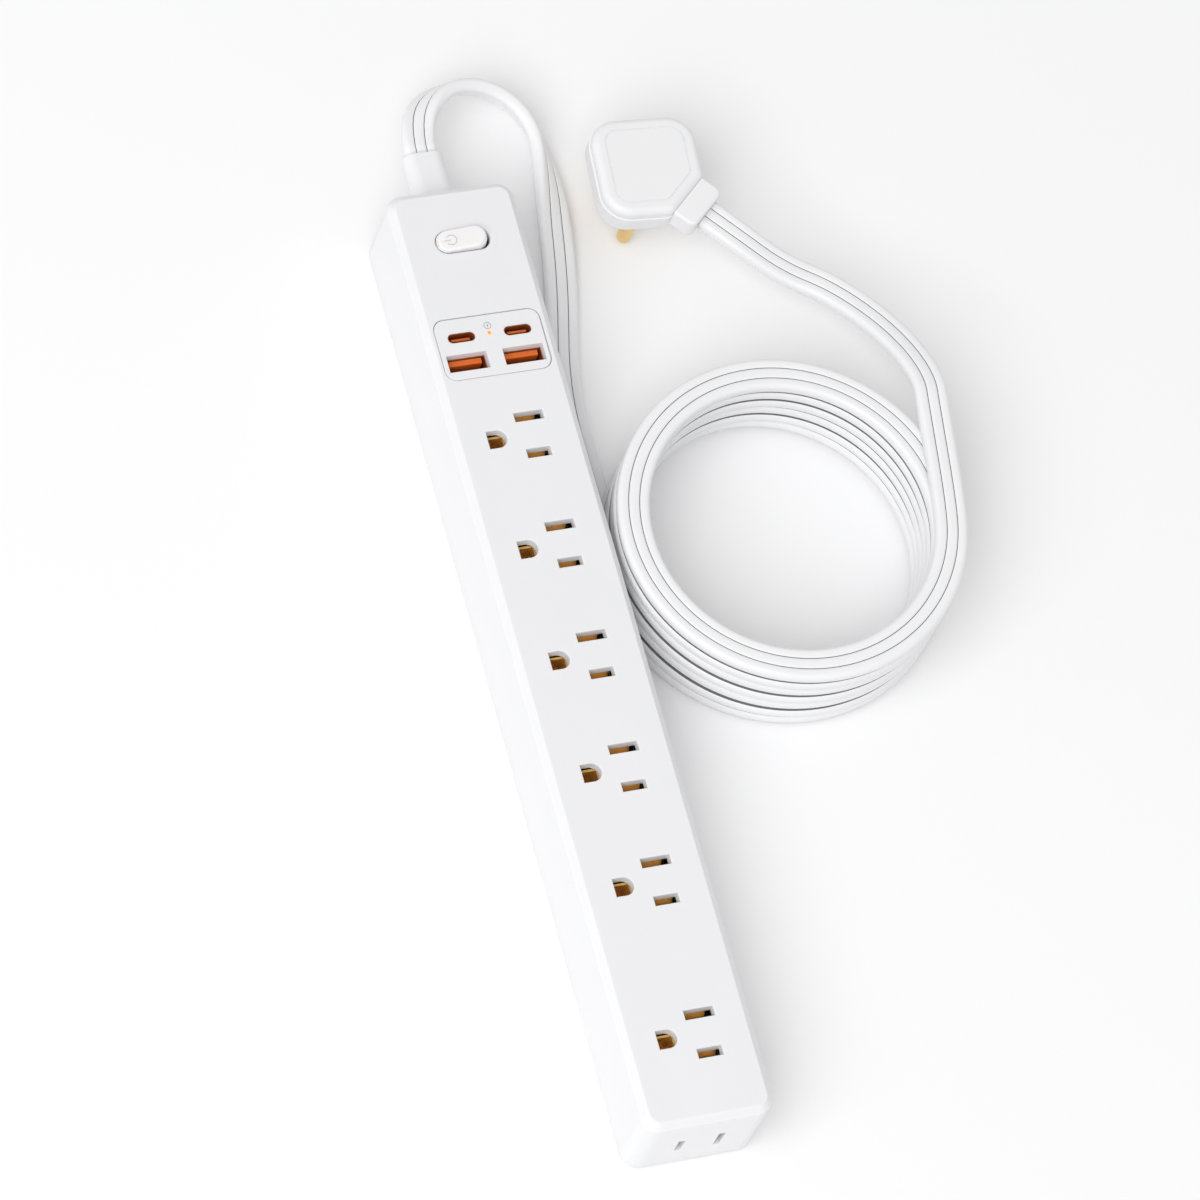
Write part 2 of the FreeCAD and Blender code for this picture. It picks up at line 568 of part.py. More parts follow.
def ground_contacts():
    """Clips of three walls: two springy sides and a back."""
    clips = []
    for index in ALL_OUTLETS:
        spot = (outlet_y(index), "contact_base")
        outer = block("ground_outer_%d" % index,
                      ("ground_clip_gap + 2 * brass", "ground_clip_wide", "contact_height"),
                      ("ground_row_x",) + spot)
        space = block("ground_space_%d" % index, ("ground_clip_gap", "ground_clip_wide", "contact_height"),
                      ("ground_row_x", spot[0] + " - brass", "contact_base + brass"))
        clips.append(cut("ground_clip_%d" % index, outer, [space]))
    return node("ground_contacts", group("ground_contacts", clips))


def busbar(name, bar_x, clip_edge, side, deep):
    """An upright strip along the row, with a tab to the foot of each clip."""
    bar_long = "first_outlet + bar_reach - bar_start"
    pieces = [block(name + "_strip", ("brass", bar_long, "busbar_height"),
                    (bar_x, "bar_start + (%s) / 2" % bar_long, "carrier_top"))]
    for index in ALL_OUTLETS:
        y = outlet_y(index) + side
        reach = "abs((%s) - (%s)) - brass / 2" % (clip_edge, bar_x)
        sign = "-" if worth("(%s) - (%s)" % (clip_edge, bar_x)) > 0 else "+"
        middle = "(%s) %s (%s) / 2" % (clip_edge, sign, reach)
        pieces.append(block("%s_tab_%d" % (name, index), (reach, deep, "brass"),
                            (middle, y, "contact_base")))
    return node(name, fuse(name, pieces))


def end_contact(name, x, bar_x, sign):
    """A clip behind one slot of the end outlet, with an arm to its busbar."""
    outer = block(name + "_outer", (CONTACT_DEEP, "end_clip_long", "end_clip_high"),
                  (x, "end_clip_y", "end_outlet_z - end_clip_high / 2"))
    space = block(name + "_space", ("contact_gap", "end_clip_long", "end_clip_high + 1"),
                  (x, "end_clip_y - brass", "end_outlet_z - end_clip_high / 2 - 0.5"))
    clip = cut(name + "_clip", outer, [space])
    edge = "(%s) %s (%s) / 2" % (x, sign, CONTACT_DEEP)
    reach = "abs((%s) - (%s)) - brass / 2" % (edge, bar_x)
    arm = block(name + "_arm", (reach, "brass", "busbar_height - end_arm_drop"),
                ("(%s) %s (%s) / 2" % (edge, sign, reach),
                 "end_clip_y + end_clip_long / 2 - brass / 2", "carrier_top"))
    return node(name, fuse(name, [clip, arm]))


def make_contacts():
    blade_contacts("neutral_contacts", "+")
    blade_contacts("live_contacts", "-")
    ground_contacts()
    half = " + blade_spacing / 2"
    busbar("neutral_busbar", "neutral_bar_x", "blade_row_x + contact_width / 2", half, CONTACT_DEEP)
    busbar("live_busbar", "live_bar_x", "blade_row_x - contact_width / 2",
           " - blade_spacing / 2", CONTACT_DEEP)
    busbar("ground_busbar", "ground_bar_x", "ground_row_x - ground_clip_gap / 2 - brass",
           "", "ground_clip_wide")
    end_contact("end_neutral_contact", "blade_spacing / 2", "neutral_bar_x", "+")
    end_contact("end_live_contact", "-blade_spacing / 2", "live_bar_x", "+")
    long = "first_outlet - last_outlet + 2 * carrier_margin"
    plate = block("carrier_plate", ("carrier_wide", long, "carrier_thick"),
                  ("0", "(first_outlet + last_outlet) / 2", "carrier_top - carrier_thick"))
    rib_x = "(live_bar_x + ground_row_x + ground_clip_gap / 2) / 2"
    rib = block("carrier_rib", ("rib_thick", long, "busbar_height - rib_drop"),
                (rib_x, "(first_outlet + last_outlet) / 2", "carrier_top"))
    holes = [rod("carrier_hole_%d" % index, "link_radius + link_play", "carrier_thick + 2",
                 (x, "surge_y", "carrier_top - carrier_thick - 1"))
             for index, x in enumerate(LINK_COLUMNS)]
    node("contact_carrier", cut("contact_carrier", fuse("carrier_solid", [plate, rib]), holes))


LINK_COLUMNS = ["live_bar_x", "neutral_bar_x", "ground_bar_x"]


# ---------------------------------------------------------------- rocker switch
def tilted(obj, angle, axis_z):
    """Turns a piece, built level, about the switch axis that lies along Y."""
    turn = FreeCAD.Rotation(V(0, 1, 0), angle)
    centre = V(0, size["switch_y"], axis_z)
    old = obj.Placement
    obj.Placement = FreeCAD.Placement(centre - turn.multVec(centre), turn).multiply(old)
    return obj


def make_switch_frame():
    outer = block("frame_outer", ("frame_long", "frame_wide", "frame_height"),
                  ("0", "switch_y", "inside_top - frame_height"))
    room = ("frame_long - 2 * frame_wall", "frame_wide - 2 * frame_wall", "frame_height")
    inner = block("frame_inner", room, ("0", "switch_y", "frame_floor"))
    bore = rod("frame_bore", "pin_radius", "frame_wide + 2",
               ("0", "switch_y - frame_wide / 2 - 1", "pivot_z"), "Y")
    hole = ("terminal_thick + terminal_play", "terminal_wide + terminal_play", "frame_wall + 2")
    slots = [block("frame_slot_%d" % index, hole, (x, "switch_y", "frame_floor - frame_wall - 1"))
             for index, x in enumerate(("0", "core_pitch"))]
    node("switch_frame", cut("switch_frame", outer, [inner, bore] + slots))
    node("rocker_pin", rod("rocker_pin", "pin_radius", "frame_wide",
                           ("0", "switch_y - frame_wide / 2", "pivot_z"), "Y"))


def make_rocker():
    """The skirt below the cap ends in arcs about the pin, so its gap stays the same as it rocks."""
    top = "height + rocker_proud"
    cap = pill("rocker_cap", "rocker_long", "rocker_wide", "rocker_thick",
               ("0", "switch_y", top + " - rocker_thick"))
    below = pill("rocker_below", "skirt_long", "rocker_wide", "skirt_high",
                 ("0", "switch_y", top + " - rocker_thick"))
    sweep = rod("rocker_sweep", "skirt_reach", "rocker_wide + 2",
                ("0", "switch_y - rocker_wide / 2 - 1", "pivot_z"), "Y")
    skirt = doc.addObject("Part::Common", "rocker_skirt")
    skirt.Base, skirt.Tool = below, sweep
    stem = block("rocker_stem", ("stem_side", "rocker_wide", "stem_drop"),
                 ("0", "switch_y", top + " - rocker_thick - stem_drop"))
    bore = rod("rocker_bore", "pin_radius + pin_play", "rocker_wide + 2",
               ("0", "switch_y - rocker_wide / 2 - 1", "pivot_z"), "Y")
    well = rod("plunger_well", "plunger_radius + plunger_play", "well_top - stem_foot",
               ("0", "switch_y", "stem_foot"))
    raw = cut("rocker_raw", fuse("rocker_solid", [cap, skirt, stem]), [bore, well])
    doc.recompute()
    rim = size["height"] + size["rocker_proud"]
    edges = [index + 1 for index, edge in enumerate(raw.Shape.Edges) if level_at(rim)(edge)]
    soft = doc.addObject("Part::Fillet", "rocker_soft")
    soft.Base = raw
    soft.Edges = [(number, size["rocker_round"], size["rocker_round"]) for number in edges]
    node("switch_rocker", tilted(soft, -size["rocker_tilt"], size["pivot_z"]))
    tip = "pivot_z - plunger_reach"
    shank = rod("plunger_shank", "plunger_radius", "plunger_long - plunger_radius",
                ("0", "switch_y", tip + " + plunger_radius"))
    ball = doc.addObject("Part::Sphere", "plunger_ball")
    bind(ball, Radius="plunger_radius")
    place(ball, ("0", "switch_y", tip + " + plunger_radius"))
    plunger = fuse("plunger_solid", [shank, ball])
    node("switch_plunger", tilted(plunger, -size["rocker_tilt"], size["pivot_z"]))
    foot = worth(tip + " + plunger_long")
    top_z = worth("well_top")
    spring_long = top_z - foot - 2 * size["spring_wire"]
    coil_radius = size["plunger_radius"] - 2 * size["spring_wire"]
    coil = Part.makeHelix(spring_long / SPRING_TURNS, spring_long, coil_radius)
    ring = Part.Wire(Part.makeCircle(size["spring_wire"], V(coil_radius, 0, 0), V(0, 1, 0)))
    spring = doc.addObject("Part::Feature", "switch_spring")
    spring.Shape = Part.Wire(coil.Edges).makePipeShell([ring], True, True)
    spring.Placement.Base = V(0, size["switch_y"], foot + size["spring_wire"])
    node("switch_spring", tilted(spring, -size["rocker_tilt"], size["pivot_z"]))


def make_lever_and_terminals():
    lever = block("switch_lever", ("lever_long", "lever_wide", "lever_thick"), ("0", "switch_y", "lever_z"))
    node("switch_lever", lever)
    doc.recompute()
    lever.setExpression("Placement.Base.x", None)
    lever.setExpression("Placement.Base.y", None)
    lever.setExpression("Placement.Base.z", None)
    tilted(lever, size["rocker_tilt"], size["lever_z"])
    low = "frame_floor - frame_wall - terminal_drop"
    for name, gap, x in (("switch_load_terminal", "load_terminal_gap", "0"),
                         ("switch_line_terminal", "line_terminal_gap", "core_pitch")):
        tall = "lever_z - %s - (%s)" % (gap, low)
        node(name, block(name, ("terminal_thick", "terminal_wide", tall), (x, "switch_y", low)))


# ---------------------------------------------------------------- USB panel
def sides():
    return (("left", "-port_offset_x"), ("right", "port_offset_x"))


def make_usb_panel():
    body = new_body("panel_plate")
    outline = new_sketch(body, "panel_outline", "height - panel_thick")
    rectangle(outline, ("0", "panel_y"), "panel_wide", "panel_deep")
    pad(body, "panel_pad", outline, "panel_thick")
    dress(body, "Fillet", "panel_corners", upright, {"Radius": "panel_radius"})
    dress(body, "Fillet", "panel_edge", level_at(size["height"]), {"Radius": "panel_soft"})
    boss = block("panel_boss_block", ("panel_wide - 2 * (panel_ledge + panel_boss_gap)",
                                      "panel_deep - 2 * (panel_ledge + panel_boss_gap)", "panel_boss"),
                 ("0", "panel_y", "height - panel_thick - panel_boss"))
    through, base = "panel_thick + panel_boss + 2", "height - panel_thick - panel_boss - 1"
    tools = [rod("light_hole", "light_radius + light_play", through, ("0", "panel_y + light_above", base))]
    for side, x in sides():
        tools.append(pill("usb_c_hole_" + side, "usb_c_long + port_play", "usb_c_wide + port_play", through,
                          (x, "usb_c_y", base)))
        mouth = ("usb_a_long + port_play", "usb_a_wide + port_play", through)
        tools.append(block("usb_a_hole_" + side, mouth, (x, "usb_a_y", base)))
    node("usb_panel", cut("usb_panel", fuse("panel_solid", [body, boss]), tools))


def make_usb_ports():
    c_floor = "height - usb_c_inset - usb_depth"
    a_floor = "height - usb_a_inset - usb_depth"
    for side, x in sides():
        shell = pill("c_shell_" + side, "usb_c_long", "usb_c_wide", "height - usb_c_inset - board_top",
                     (x, "usb_c_y", "board_top"))
        space = pill("c_space_" + side, "usb_c_long - 2 * shell_wall", "usb_c_wide - 2 * shell_wall",
                     "usb_depth", (x, "usb_c_y", c_floor))
        node("usb_c_shell_" + side, cut("usb_c_shell_" + side, shell, [space]))
        node("usb_c_tongue_" + side,
             block("usb_c_tongue_" + side,
                   ("usb_c_tongue", "usb_c_tongue_thick", "usb_depth - usb_c_tongue_drop"),
                   (x, "usb_c_y", c_floor)))
        shell = block("a_shell_" + side,
                      ("usb_a_long", "usb_a_wide", "height - usb_a_inset - board_top"),
                      (x, "usb_a_y", "board_top"))
        space = block("a_space_" + side,
                      ("usb_a_long - 2 * shell_wall", "usb_a_wide - 2 * shell_wall", "usb_depth"),
                      (x, "usb_a_y", a_floor))
        node("usb_a_shell_" + side, cut("usb_a_shell_" + side, shell, [space]))
        node("usb_a_tongue_" + side,
             block("usb_a_tongue_" + side,
                   ("usb_a_tongue", "usb_a_tongue_thick", "usb_depth - usb_a_tongue_drop"),
                   (x, "usb_a_y + usb_a_tongue_y", a_floor)))


def make_usb_board():
    under = "board_top - board_thick"
    plate = ("panel_wide - 2 * board_side_gap", "panel_deep + 2 * board_end_over", "board_thick")
    node("usb_board", block("usb_board", plate, ("0", "panel_y", under)))
    winding = ("transformer_long", "transformer_deep", "transformer_high")
    node("usb_transformer", block("usb_transformer", winding,
                                  ("transformer_x", "panel_y", under + " - transformer_high")))
    node("usb_capacitors", group("usb_capacitors", [
        rod("capacitor_%d" % index, "capacitor_radius", "capacitor_high",
            (x, "panel_y + capacitor_y", under + " - capacitor_high"))
        for index, x in enumerate(("capacitor_x", "capacitor_x + capacitor_apart"))]))
    node("usb_inductor", rod("usb_inductor", "inductor_radius", "inductor_high",
                             ("inductor_x", "panel_y + inductor_y", under + " - inductor_high")))
    light_y = "panel_y + light_above"
    node("indicator_led", rod("indicator_led", "led_radius", "led_high", ("0", light_y, "board_top")))
    node("indicator_light_pipe", rod("indicator_light_pipe", "light_radius",
                                     "height - board_top - led_high - light_end_gap",
                                     ("0", light_y, "board_top + led_high")))


# ---------------------------------------------------------------- surge protection
def make_surge_board():
    base = "tray_height + board_stand"
    node("surge_board", block("surge_board", ("surge_board_wide", "surge_board_long", "board_thick"),
                              ("0", "surge_y", base)))
    top = "tray_height + board_stand + board_thick"
    discs = [rod("varistor_%d" % index, "varistor_radius", "varistor_thick",
                 (x, "surge_y - varistor_back", top + " + varistor_radius"), "Y")
             for index, x in enumerate(("-varistor_apart", "0", "varistor_apart"))]
    node("varistors", group("varistors", discs))
    node("thermal_fuse", rod("thermal_fuse", "fuse_radius", "fuse_long",
                             ("0", "surge_y + fuse_ahead", top + " + fuse_lift"), "Y"))
    node("surge_link_pins", group("surge_link_pins", [
        rod("link_pin_%d" % index, "link_radius", "carrier_top - (%s)" % top, (x, "surge_y", top))
        for index, x in enumerate(LINK_COLUMNS)]))


# ---------------------------------------------------------------- paths of wires and cord
def bend_radius(before, corner, after):
    """0.45 of the shorter run, divided by the tangent of half the turn."""
    one, two = corner - before, after - corner
    turn = one.getAngle(two)
    return 0.45 * min(one.Length, two.Length) / math.tan(turn / 2)


def path_through(name, points):
    """Straight runs joined by tangent arcs."""
    edges, radii = [], []
    start = points[0]
    for before, corner, after in zip(points, points[1:], points[2:]):
        radius = bend_radius(before, corner, after)
        radii.append(radius)
        one, two = (corner - before).normalize(), (after - corner).normalize()
        trim = radius * math.tan(one.getAngle(two) / 2)
        enter, leave = corner - one * trim, corner + two * trim
        inward = (two - one).normalize()
        middle = corner + inward * (math.hypot(radius, trim) - radius)
        edges.append(Part.LineSegment(start, enter).toShape())
        edges.append(Part.Arc(enter, middle, leave).toShape())
        start = leave
    edges.append(Part.LineSegment(start, points[-1]).toShape())
    path = Part.Wire(edges)
    print(name, "bend radii", [round(radius, 1) for radius in radii], "length", round(path.Length, 1))
    return path


def slot_wire(centre, across, up, wide, thick):
    """A slot-shaped outline: wide along across, thick along up."""
    half, radius = wide / 2 - thick / 2, thick / 2
    left, right = centre - across * half, centre + across * half
    edges = [Part.LineSegment(left - up * radius, right - up * radius).toShape(),
             Part.Arc(right - up * radius, right + across * radius, right + up * radius).toShape(),
             Part.LineSegment(right + up * radius, left + up * radius).toShape(),
             Part.Arc(left + up * radius, left - across * radius, left - up * radius).toShape()]
    return Part.Wire(edges)


def flat_tube(name, points):
    """The cord's flat section along a path, wide side level."""
    path = path_through(name, points)
    wide, thick = size["cord_wide"], size["cord_thick"]
    ahead = (points[1] - points[0]).normalize()
    across = ahead.cross(UP).normalize()
    section = slot_wire(points[0], across, across.cross(ahead), wide, thick)
    shell = Part.BRepOffsetAPI.MakePipeShell(path)
    shell.setBiNormalMode(UP)
    shell.add(section, False, False)
    shell.build()
    shell.makeSolid()
    tube = shell.shape()
    area = Part.Face(section).Area
    print(name, "volume", round(tube.Volume, 1), "section x length", round(area * path.Length, 1))
    if abs(tube.Volume / (area * path.Length) - 1) > 0.03:
        raise RuntimeError(name + " is not as full as its section and length say")
    obj = doc.addObject("Part::Feature", name)
    obj.Shape = tube
    return node(name, obj)


def round_wire(name, points):
    path = path_through(name, points)
    ahead = (points[1] - points[0]).normalize()
    ring = Part.Wire(Part.makeCircle(size["wire_radius"], points[0], ahead))
    obj = doc.addObject("Part::Feature", name)
    obj.Shape = path.makePipeShell([ring], True, False)
    return node(name, obj)


def make_wires():
    jacket = size["clamp_y"] - size["jacket_long"] / 2
    level, pitch = size["cord_z"], size["core_pitch"]
    terminal = size["switch_y"] + size["terminal_wide"] / 2
    line = doc.addObject("Part::Feature", "line_wire")
    line.Shape = Part.makeCylinder(size["wire_radius"], jacket - terminal, V(pitch, terminal, level),
                                   V(0, 1, 0))
    node("line_wire", line)
    bar_end = size["first_outlet"] + size["bar_reach"]
    bar_z = size["carrier_top"] + size["busbar_height"] / 2
    side = size["inside_x"] - size["lip_wall"] - size["wire_from_lip"]
    low = size["tray_height"] + size["wire_radius"] + size["wire_lift"]
    rise = (low + bar_z) / 2
    panel_far = size["panel_y"] + size["panel_deep"] / 2
    panel_near = size["panel_y"] - size["panel_deep"] / 2
    neutral_x, ground_x = size["neutral_bar_x"], size["ground_bar_x"]
    round_wire("neutral_wire", [
        V(-pitch, jacket, level), V(-pitch, jacket - 4.5, level), V(-pitch, terminal - 5, level - 3),
        V(-pitch + 2, panel_far + 16, (level + low) / 2 - 1.3), V(side - 9, panel_far + 7, low + 0.4),
        V(side - 0.4, panel_far - 5, low), V(side, panel_near + 4, low + 0.2),
        V(neutral_x + 1, bar_end + 6.5, rise), V(neutral_x, bar_end + 5.3, bar_z),
        V(neutral_x, bar_end, bar_z)])
    round_wire("ground_wire", [
        V(0, jacket, level), V(0, jacket - 3.3, level), V(-1, jacket - 4, (level + low) / 2 - 1.7),
        V(-6, terminal - 7, low), V(-side + 1, panel_far + 9, low + 0.2),
        V(-side, panel_near + 2.5, low), V(ground_x - 1.4, bar_end + 6.5, rise),
        V(ground_x, bar_end + 5.3, bar_z), V(ground_x, bar_end, bar_z)])
    fuse_end = size["surge_y"] + size["fuse_ahead"] + size["fuse_long"]
    fuse_z = size["tray_height"] + size["board_stand"] + size["board_thick"] + size["fuse_lift"]
    near_terminal = size["switch_y"] - size["terminal_wide"] / 2
    round_wire("load_wire", [
        V(0, near_terminal, level - 2), V(0, near_terminal - 5, level - 2),
        V(0.3, panel_far + 5, fuse_z - 1), V(0.2, panel_near + 6, fuse_z - 0.8),
        V(0, fuse_end + 9, fuse_z), V(0, fuse_end, fuse_z)])


# ---------------------------------------------------------------- cord entry
def make_cord_entry():
    wall = size["length"] / 2
    level = V(0, 0, size["cord_z"])

    def slot(y, wide, high):
        return slot_wire(V(0, y, 0) + level, V(1, 0, 0), UP, wide, high)
    neck = slot(wall, size["relief_base_wide"], size["relief_base_high"])
    end = slot(wall + size["relief_long"], size["relief_end_wide"], size["relief_end_high"])
    tapered = Part.makeLoft([neck, end], True, True)
    stub = Part.Face(neck).extrude(V(0, -size["cover_wall"], 0))
    flange = Part.Face(slot(size["inside_y"], size["relief_base_wide"] + 2 * size["relief_lip"],
                           size["relief_base_high"] + 2 * size["relief_lip"]))
    relief = tapered.fuse([stub, flange.extrude(V(0, -size["relief_flange"], 0))]).removeSplitter()
    obj = doc.addObject("Part::Feature", "strain_relief")
    obj.Shape = relief
    node("strain_relief", obj)
    node("cord_jacket_end", cord_pill("cord_jacket_end", "cord_wide", "cord_thick",
                                      "clamp_y - jacket_long / 2", "jacket_long"))
    foot = "cord_z - cord_thick / 2"
    bar = block("clamp_bar", ("clamp_long", "clamp_deep", "cord_thick + clamp_thick"),
                ("0", "clamp_y", foot))
    room = cord_pill("clamp_room", "cord_wide", "cord_thick", "clamp_y - clamp_deep", "2 * clamp_deep")
    below = block("clamp_throat", ("cord_wide", "clamp_deep + 2", "cord_thick / 2"),
                  ("0", "clamp_y", foot))
    holes, screws = [], []
    for index, x in enumerate(("-clamp_screw_x", "clamp_screw_x")):
        holes.append(rod("clamp_bar_hole_%d" % index, "screw_radius", "cord_thick + clamp_thick + 2",
                         (x, "clamp_y", foot + " - 1")))
        head = rod("clamp_head_%d" % index, "screw_head", "head_thick",
                   (x, "clamp_y", foot + " + cord_thick + clamp_thick"))
        shank = rod("clamp_shank_%d" % index, "screw_radius - thread_play",
                    "cord_thick + clamp_thick + clamp_screw_bite",
                    (x, "clamp_y", foot + " - clamp_screw_bite"))
        screws.append(fuse("clamp_screw_%d" % index, [head, shank]))
    node("cord_clamp", cut("cord_clamp", bar, [room, below] + holes))
    node("clamp_screws", group("clamp_screws", screws))


# ---------------------------------------------------------------- free cord
def coil_point(angle, radius, level):
    return V(size["coil_x"], size["coil_from_middle"], level) + heading(angle) * radius


def heading(angle):
    return V(math.cos(math.radians(angle)), math.sin(math.radians(angle)), 0)


def make_coil():
    """The coil's outer shape, with the straight starts of the strand and of the lead."""
    high = size["coil_height"]
    foot = V(size["coil_x"], size["coil_from_middle"], 0)
    ring = Part.makeCylinder(size["coil_outer"], high, foot).cut(
        Part.makeCylinder(size["coil_inner"], high, foot))
    pieces = []
    lead = size["lead_angle"]
    for angle, way, level in ((180, 90, size["strand_z"]), (lead, lead + 90, size["lead_z"])):
        ahead = heading(way)
        section = slot_wire(coil_point(angle, size["coil_mean"], level), ahead.cross(UP), UP,
                            size["cord_wide"], size["cord_thick"])
        pieces.append(Part.Face(section).extrude(ahead * size["coil_stub"]))
    obj = doc.addObject("Part::Feature", "cord_coil")
    obj.Shape = ring.fuse(pieces).removeSplitter()
    return node("cord_coil", obj)


def make_free_cord():
    exit_y = size["length"] / 2 + size["relief_long"]
    strand_x = size["coil_x"] - size["coil_mean"]
    strand_y = size["coil_from_middle"] + size["coil_stub"]
    rest = size["strand_z"]
    flat_tube("cord_lead", [
        V(0, exit_y, size["cord_z"]), V(0, exit_y + 12, size["cord_z"]),
        V(12.5, exit_y + 24.5, 15.6), V(30, exit_y + 25, 11.6), V(42.4, exit_y + 12.5, 8),
        V(43.2, exit_y - 11, 4.8), V(38.6, exit_y - 44, rest + 0.3), V(strand_x, strand_y + 32, rest),
        V(strand_x, strand_y, rest)])
    make_coil()
    way = heading(size["lead_angle"] + 90)
    start = coil_point(size["lead_angle"], size["coil_mean"], size["lead_z"]) + way * size["coil_stub"]
    out = heading(size["plug_turn"] - 45)
    plug = V(size["plug_x"], size["plug_y"], size["plug_cord_z"])
    sleeve = plug + out * (plug_flat() + size["sleeve_long"])
    flat_tube("plug_lead", [
        start, start + way * 12, start + V(-2.5, 32, -7.5), start + V(-14.5, 53, -15),
        sleeve + out * 28 + V(3, 1, -5.5), sleeve + out * 12, sleeve])


# ---------------------------------------------------------------- plug
def plug_flat():
    """Distance from the plug's centre to the face of its cut corner."""
    return (size["plug_side"] - size["plug_corner_cut"]) / math.sqrt(2)


def plug_spot(obj):
    obj.Placement = FreeCAD.Placement(V(size["plug_x"], size["plug_y"], size["plug_rear"]),
                                      FreeCAD.Rotation(UP, size["plug_turn"]))
    return obj


def plug_outline(sketch, side, corner_cut):
    half = "(%s) / 2" % side
    polygon(sketch, [("-" + half, "-" + half), ("%s - (%s)" % (half, corner_cut), "-" + half),
                     (half, "(%s) - %s" % (corner_cut, half)), (half, half), ("-" + half, half)])


def plug_block(name, low, high, side, corner_cut, radius, cut_radius="plug_cut_round"):
    body = new_body(name)
    outline = new_sketch(body, name + "_outline", low)
    plug_outline(outline, side, corner_cut)
    pad(body, name + "_pad", outline, "(%s) - (%s)" % (high, low))
    half = worth("(%s) / 2" % side)

    def square_corner(edge):
        box = edge.BoundBox
        return upright(edge) and abs(abs(box.XMin) - half) < 1e-3 and abs(abs(box.YMin) - half) < 1e-3
    dress(body, "Fillet", name + "_corners", square_corner, {"Radius": radius})

    reach = half - worth(corner_cut)

    def cut_corner(edge):
        spot = edge.BoundBox
        across = abs(spot.XMin - half) < 1e-3 and abs(spot.YMin + reach) < 1e-3
        along = abs(spot.YMin + half) < 1e-3 and abs(spot.XMin - reach) < 1e-3
        return upright(edge) and (across or along)
    dress(body, "Fillet", name + "_cut_corners", cut_corner, {"Radius": cut_radius})
    return body


def make_plug():
    split = "plug_depth - plug_cap_thick"
    body = plug_block("plug_body_block", "0", split, "plug_side + 2 * plug_body_step",
                      "plug_corner_cut + 2 * plug_body_step", "plug_radius + plug_body_step")
    dress(body, "Fillet", "plug_rear_round", level_at(0), {"Radius": "plug_round"})
    core = block("core_room", ("core_side", "core_side", "core_thick"), ("0", "0", "blade_root"))
    roots = [block("%s_root" % name, ("blade_thick", wide, "blade_root + 1"), (x, "plug_blade_y", "-1"))
             for name, x, wide in plug_blades()]
    roots.append(rod("ground_root", "ground_pin_radius", "blade_root + 1",
                     ("plug_blade_x", "plug_blade_y - plug_ground_drop", "-1")))
    node("plug_body", plug_spot(cut("plug_body", body, [core] + roots)))
    cap = plug_block("plug_cap_block", split, "plug_depth", "plug_side", "plug_corner_cut",
                     "plug_radius")
    dress(cap, "Fillet", "plug_front_round", level_at(size["plug_depth"]),
          {"Radius": "plug_front_round"})
    floor = "plug_depth - inset_deep"
    island = plug_block("inset_island", floor, "plug_depth + 1", "inset_side - 2 * inset_groove",
                        "inset_corner_cut - 0.6 * inset_groove", "inset_round - inset_groove",
                        "inset_cut_round - inset_groove")
    tray = plug_block("inset_outside", floor, "plug_depth + 1", "inset_side", "inset_corner_cut",
                      "inset_round", "inset_cut_round")
    line = cut("inset_line", tray, [island])
    node("plug_cap", plug_spot(cut("plug_cap", cap, [line])))
    plate = block("plug_core_plate", ("core_side", "core_side", "core_thick"), ("0", "0", "blade_root"))
    node("plug_core", plug_spot(group("plug_core", [plate])))
    for name, x, wide in plug_blades():
        blade = block(name + "_strip", ("blade_thick", wide, "blade_long + blade_root"),
                      (x, "plug_blade_y", "-blade_long"))
        node(name, plug_spot(group(name, [blade])))
    ground = rod("ground_pin_rod", "ground_pin_radius", "ground_pin_long + blade_root",
                 ("plug_blade_x", "plug_blade_y - plug_ground_drop", "-ground_pin_long"))
    node("plug_ground_pin", plug_spot(group("plug_ground_pin", [ground])))
    make_sleeve()


def plug_blades():
    return (("plug_neutral_blade", "plug_blade_x - blade_spacing / 2", "neutral_blade_wide"),
            ("plug_live_blade", "plug_blade_x + blade_spacing / 2", "blade_wide"))


def make_sleeve():
    """The short sleeve on the cut corner, along the way the cord leaves."""
    sleeve = block("sleeve_block", ("sleeve_long", "sleeve_wide", "sleeve_high"),
                   ("sleeve_long / 2", "0", "0"))
    doc.recompute()
    soft = doc.addObject("Part::Fillet", "plug_sleeve")
    soft.Base = sleeve
    tip = size["sleeve_long"] - 0.01
    rounds = []
    for index, edge in enumerate(sleeve.Shape.Edges, start=1):
        box = edge.BoundBox
        if upright(edge) and box.XMin > tip:
            rounds.append((index, size["sleeve_corner"], size["sleeve_corner"]))
        elif box.XLength > tip or (box.XMin > tip and not upright(edge)):
            rounds.append((index, size["sleeve_round"], size["sleeve_round"]))
    soft.Edges = rounds
    out = heading(size["plug_turn"] - 45)
    middle = V(size["plug_x"], size["plug_y"], size["plug_cord_z"] - size["sleeve_high"] / 2)
    turn = FreeCAD.Rotation(UP, size["plug_turn"] - 45)
    soft.Placement = FreeCAD.Placement(middle + out * plug_flat(), turn)
    node("plug_sleeve", soft)


# ---------------------------------------------------------------- build, check and write
def build():
    make_top_cover()
    make_base_tray()
    make_housing_screws()
    make_contacts()
    make_switch_frame()
    make_rocker()
    make_lever_and_terminals()
    make_usb_panel()
    make_usb_ports()
    make_usb_board()
    make_surge_board()
    make_cord_entry()
    make_wires()
    make_free_cord()
    make_plug()
    doc.recompute()


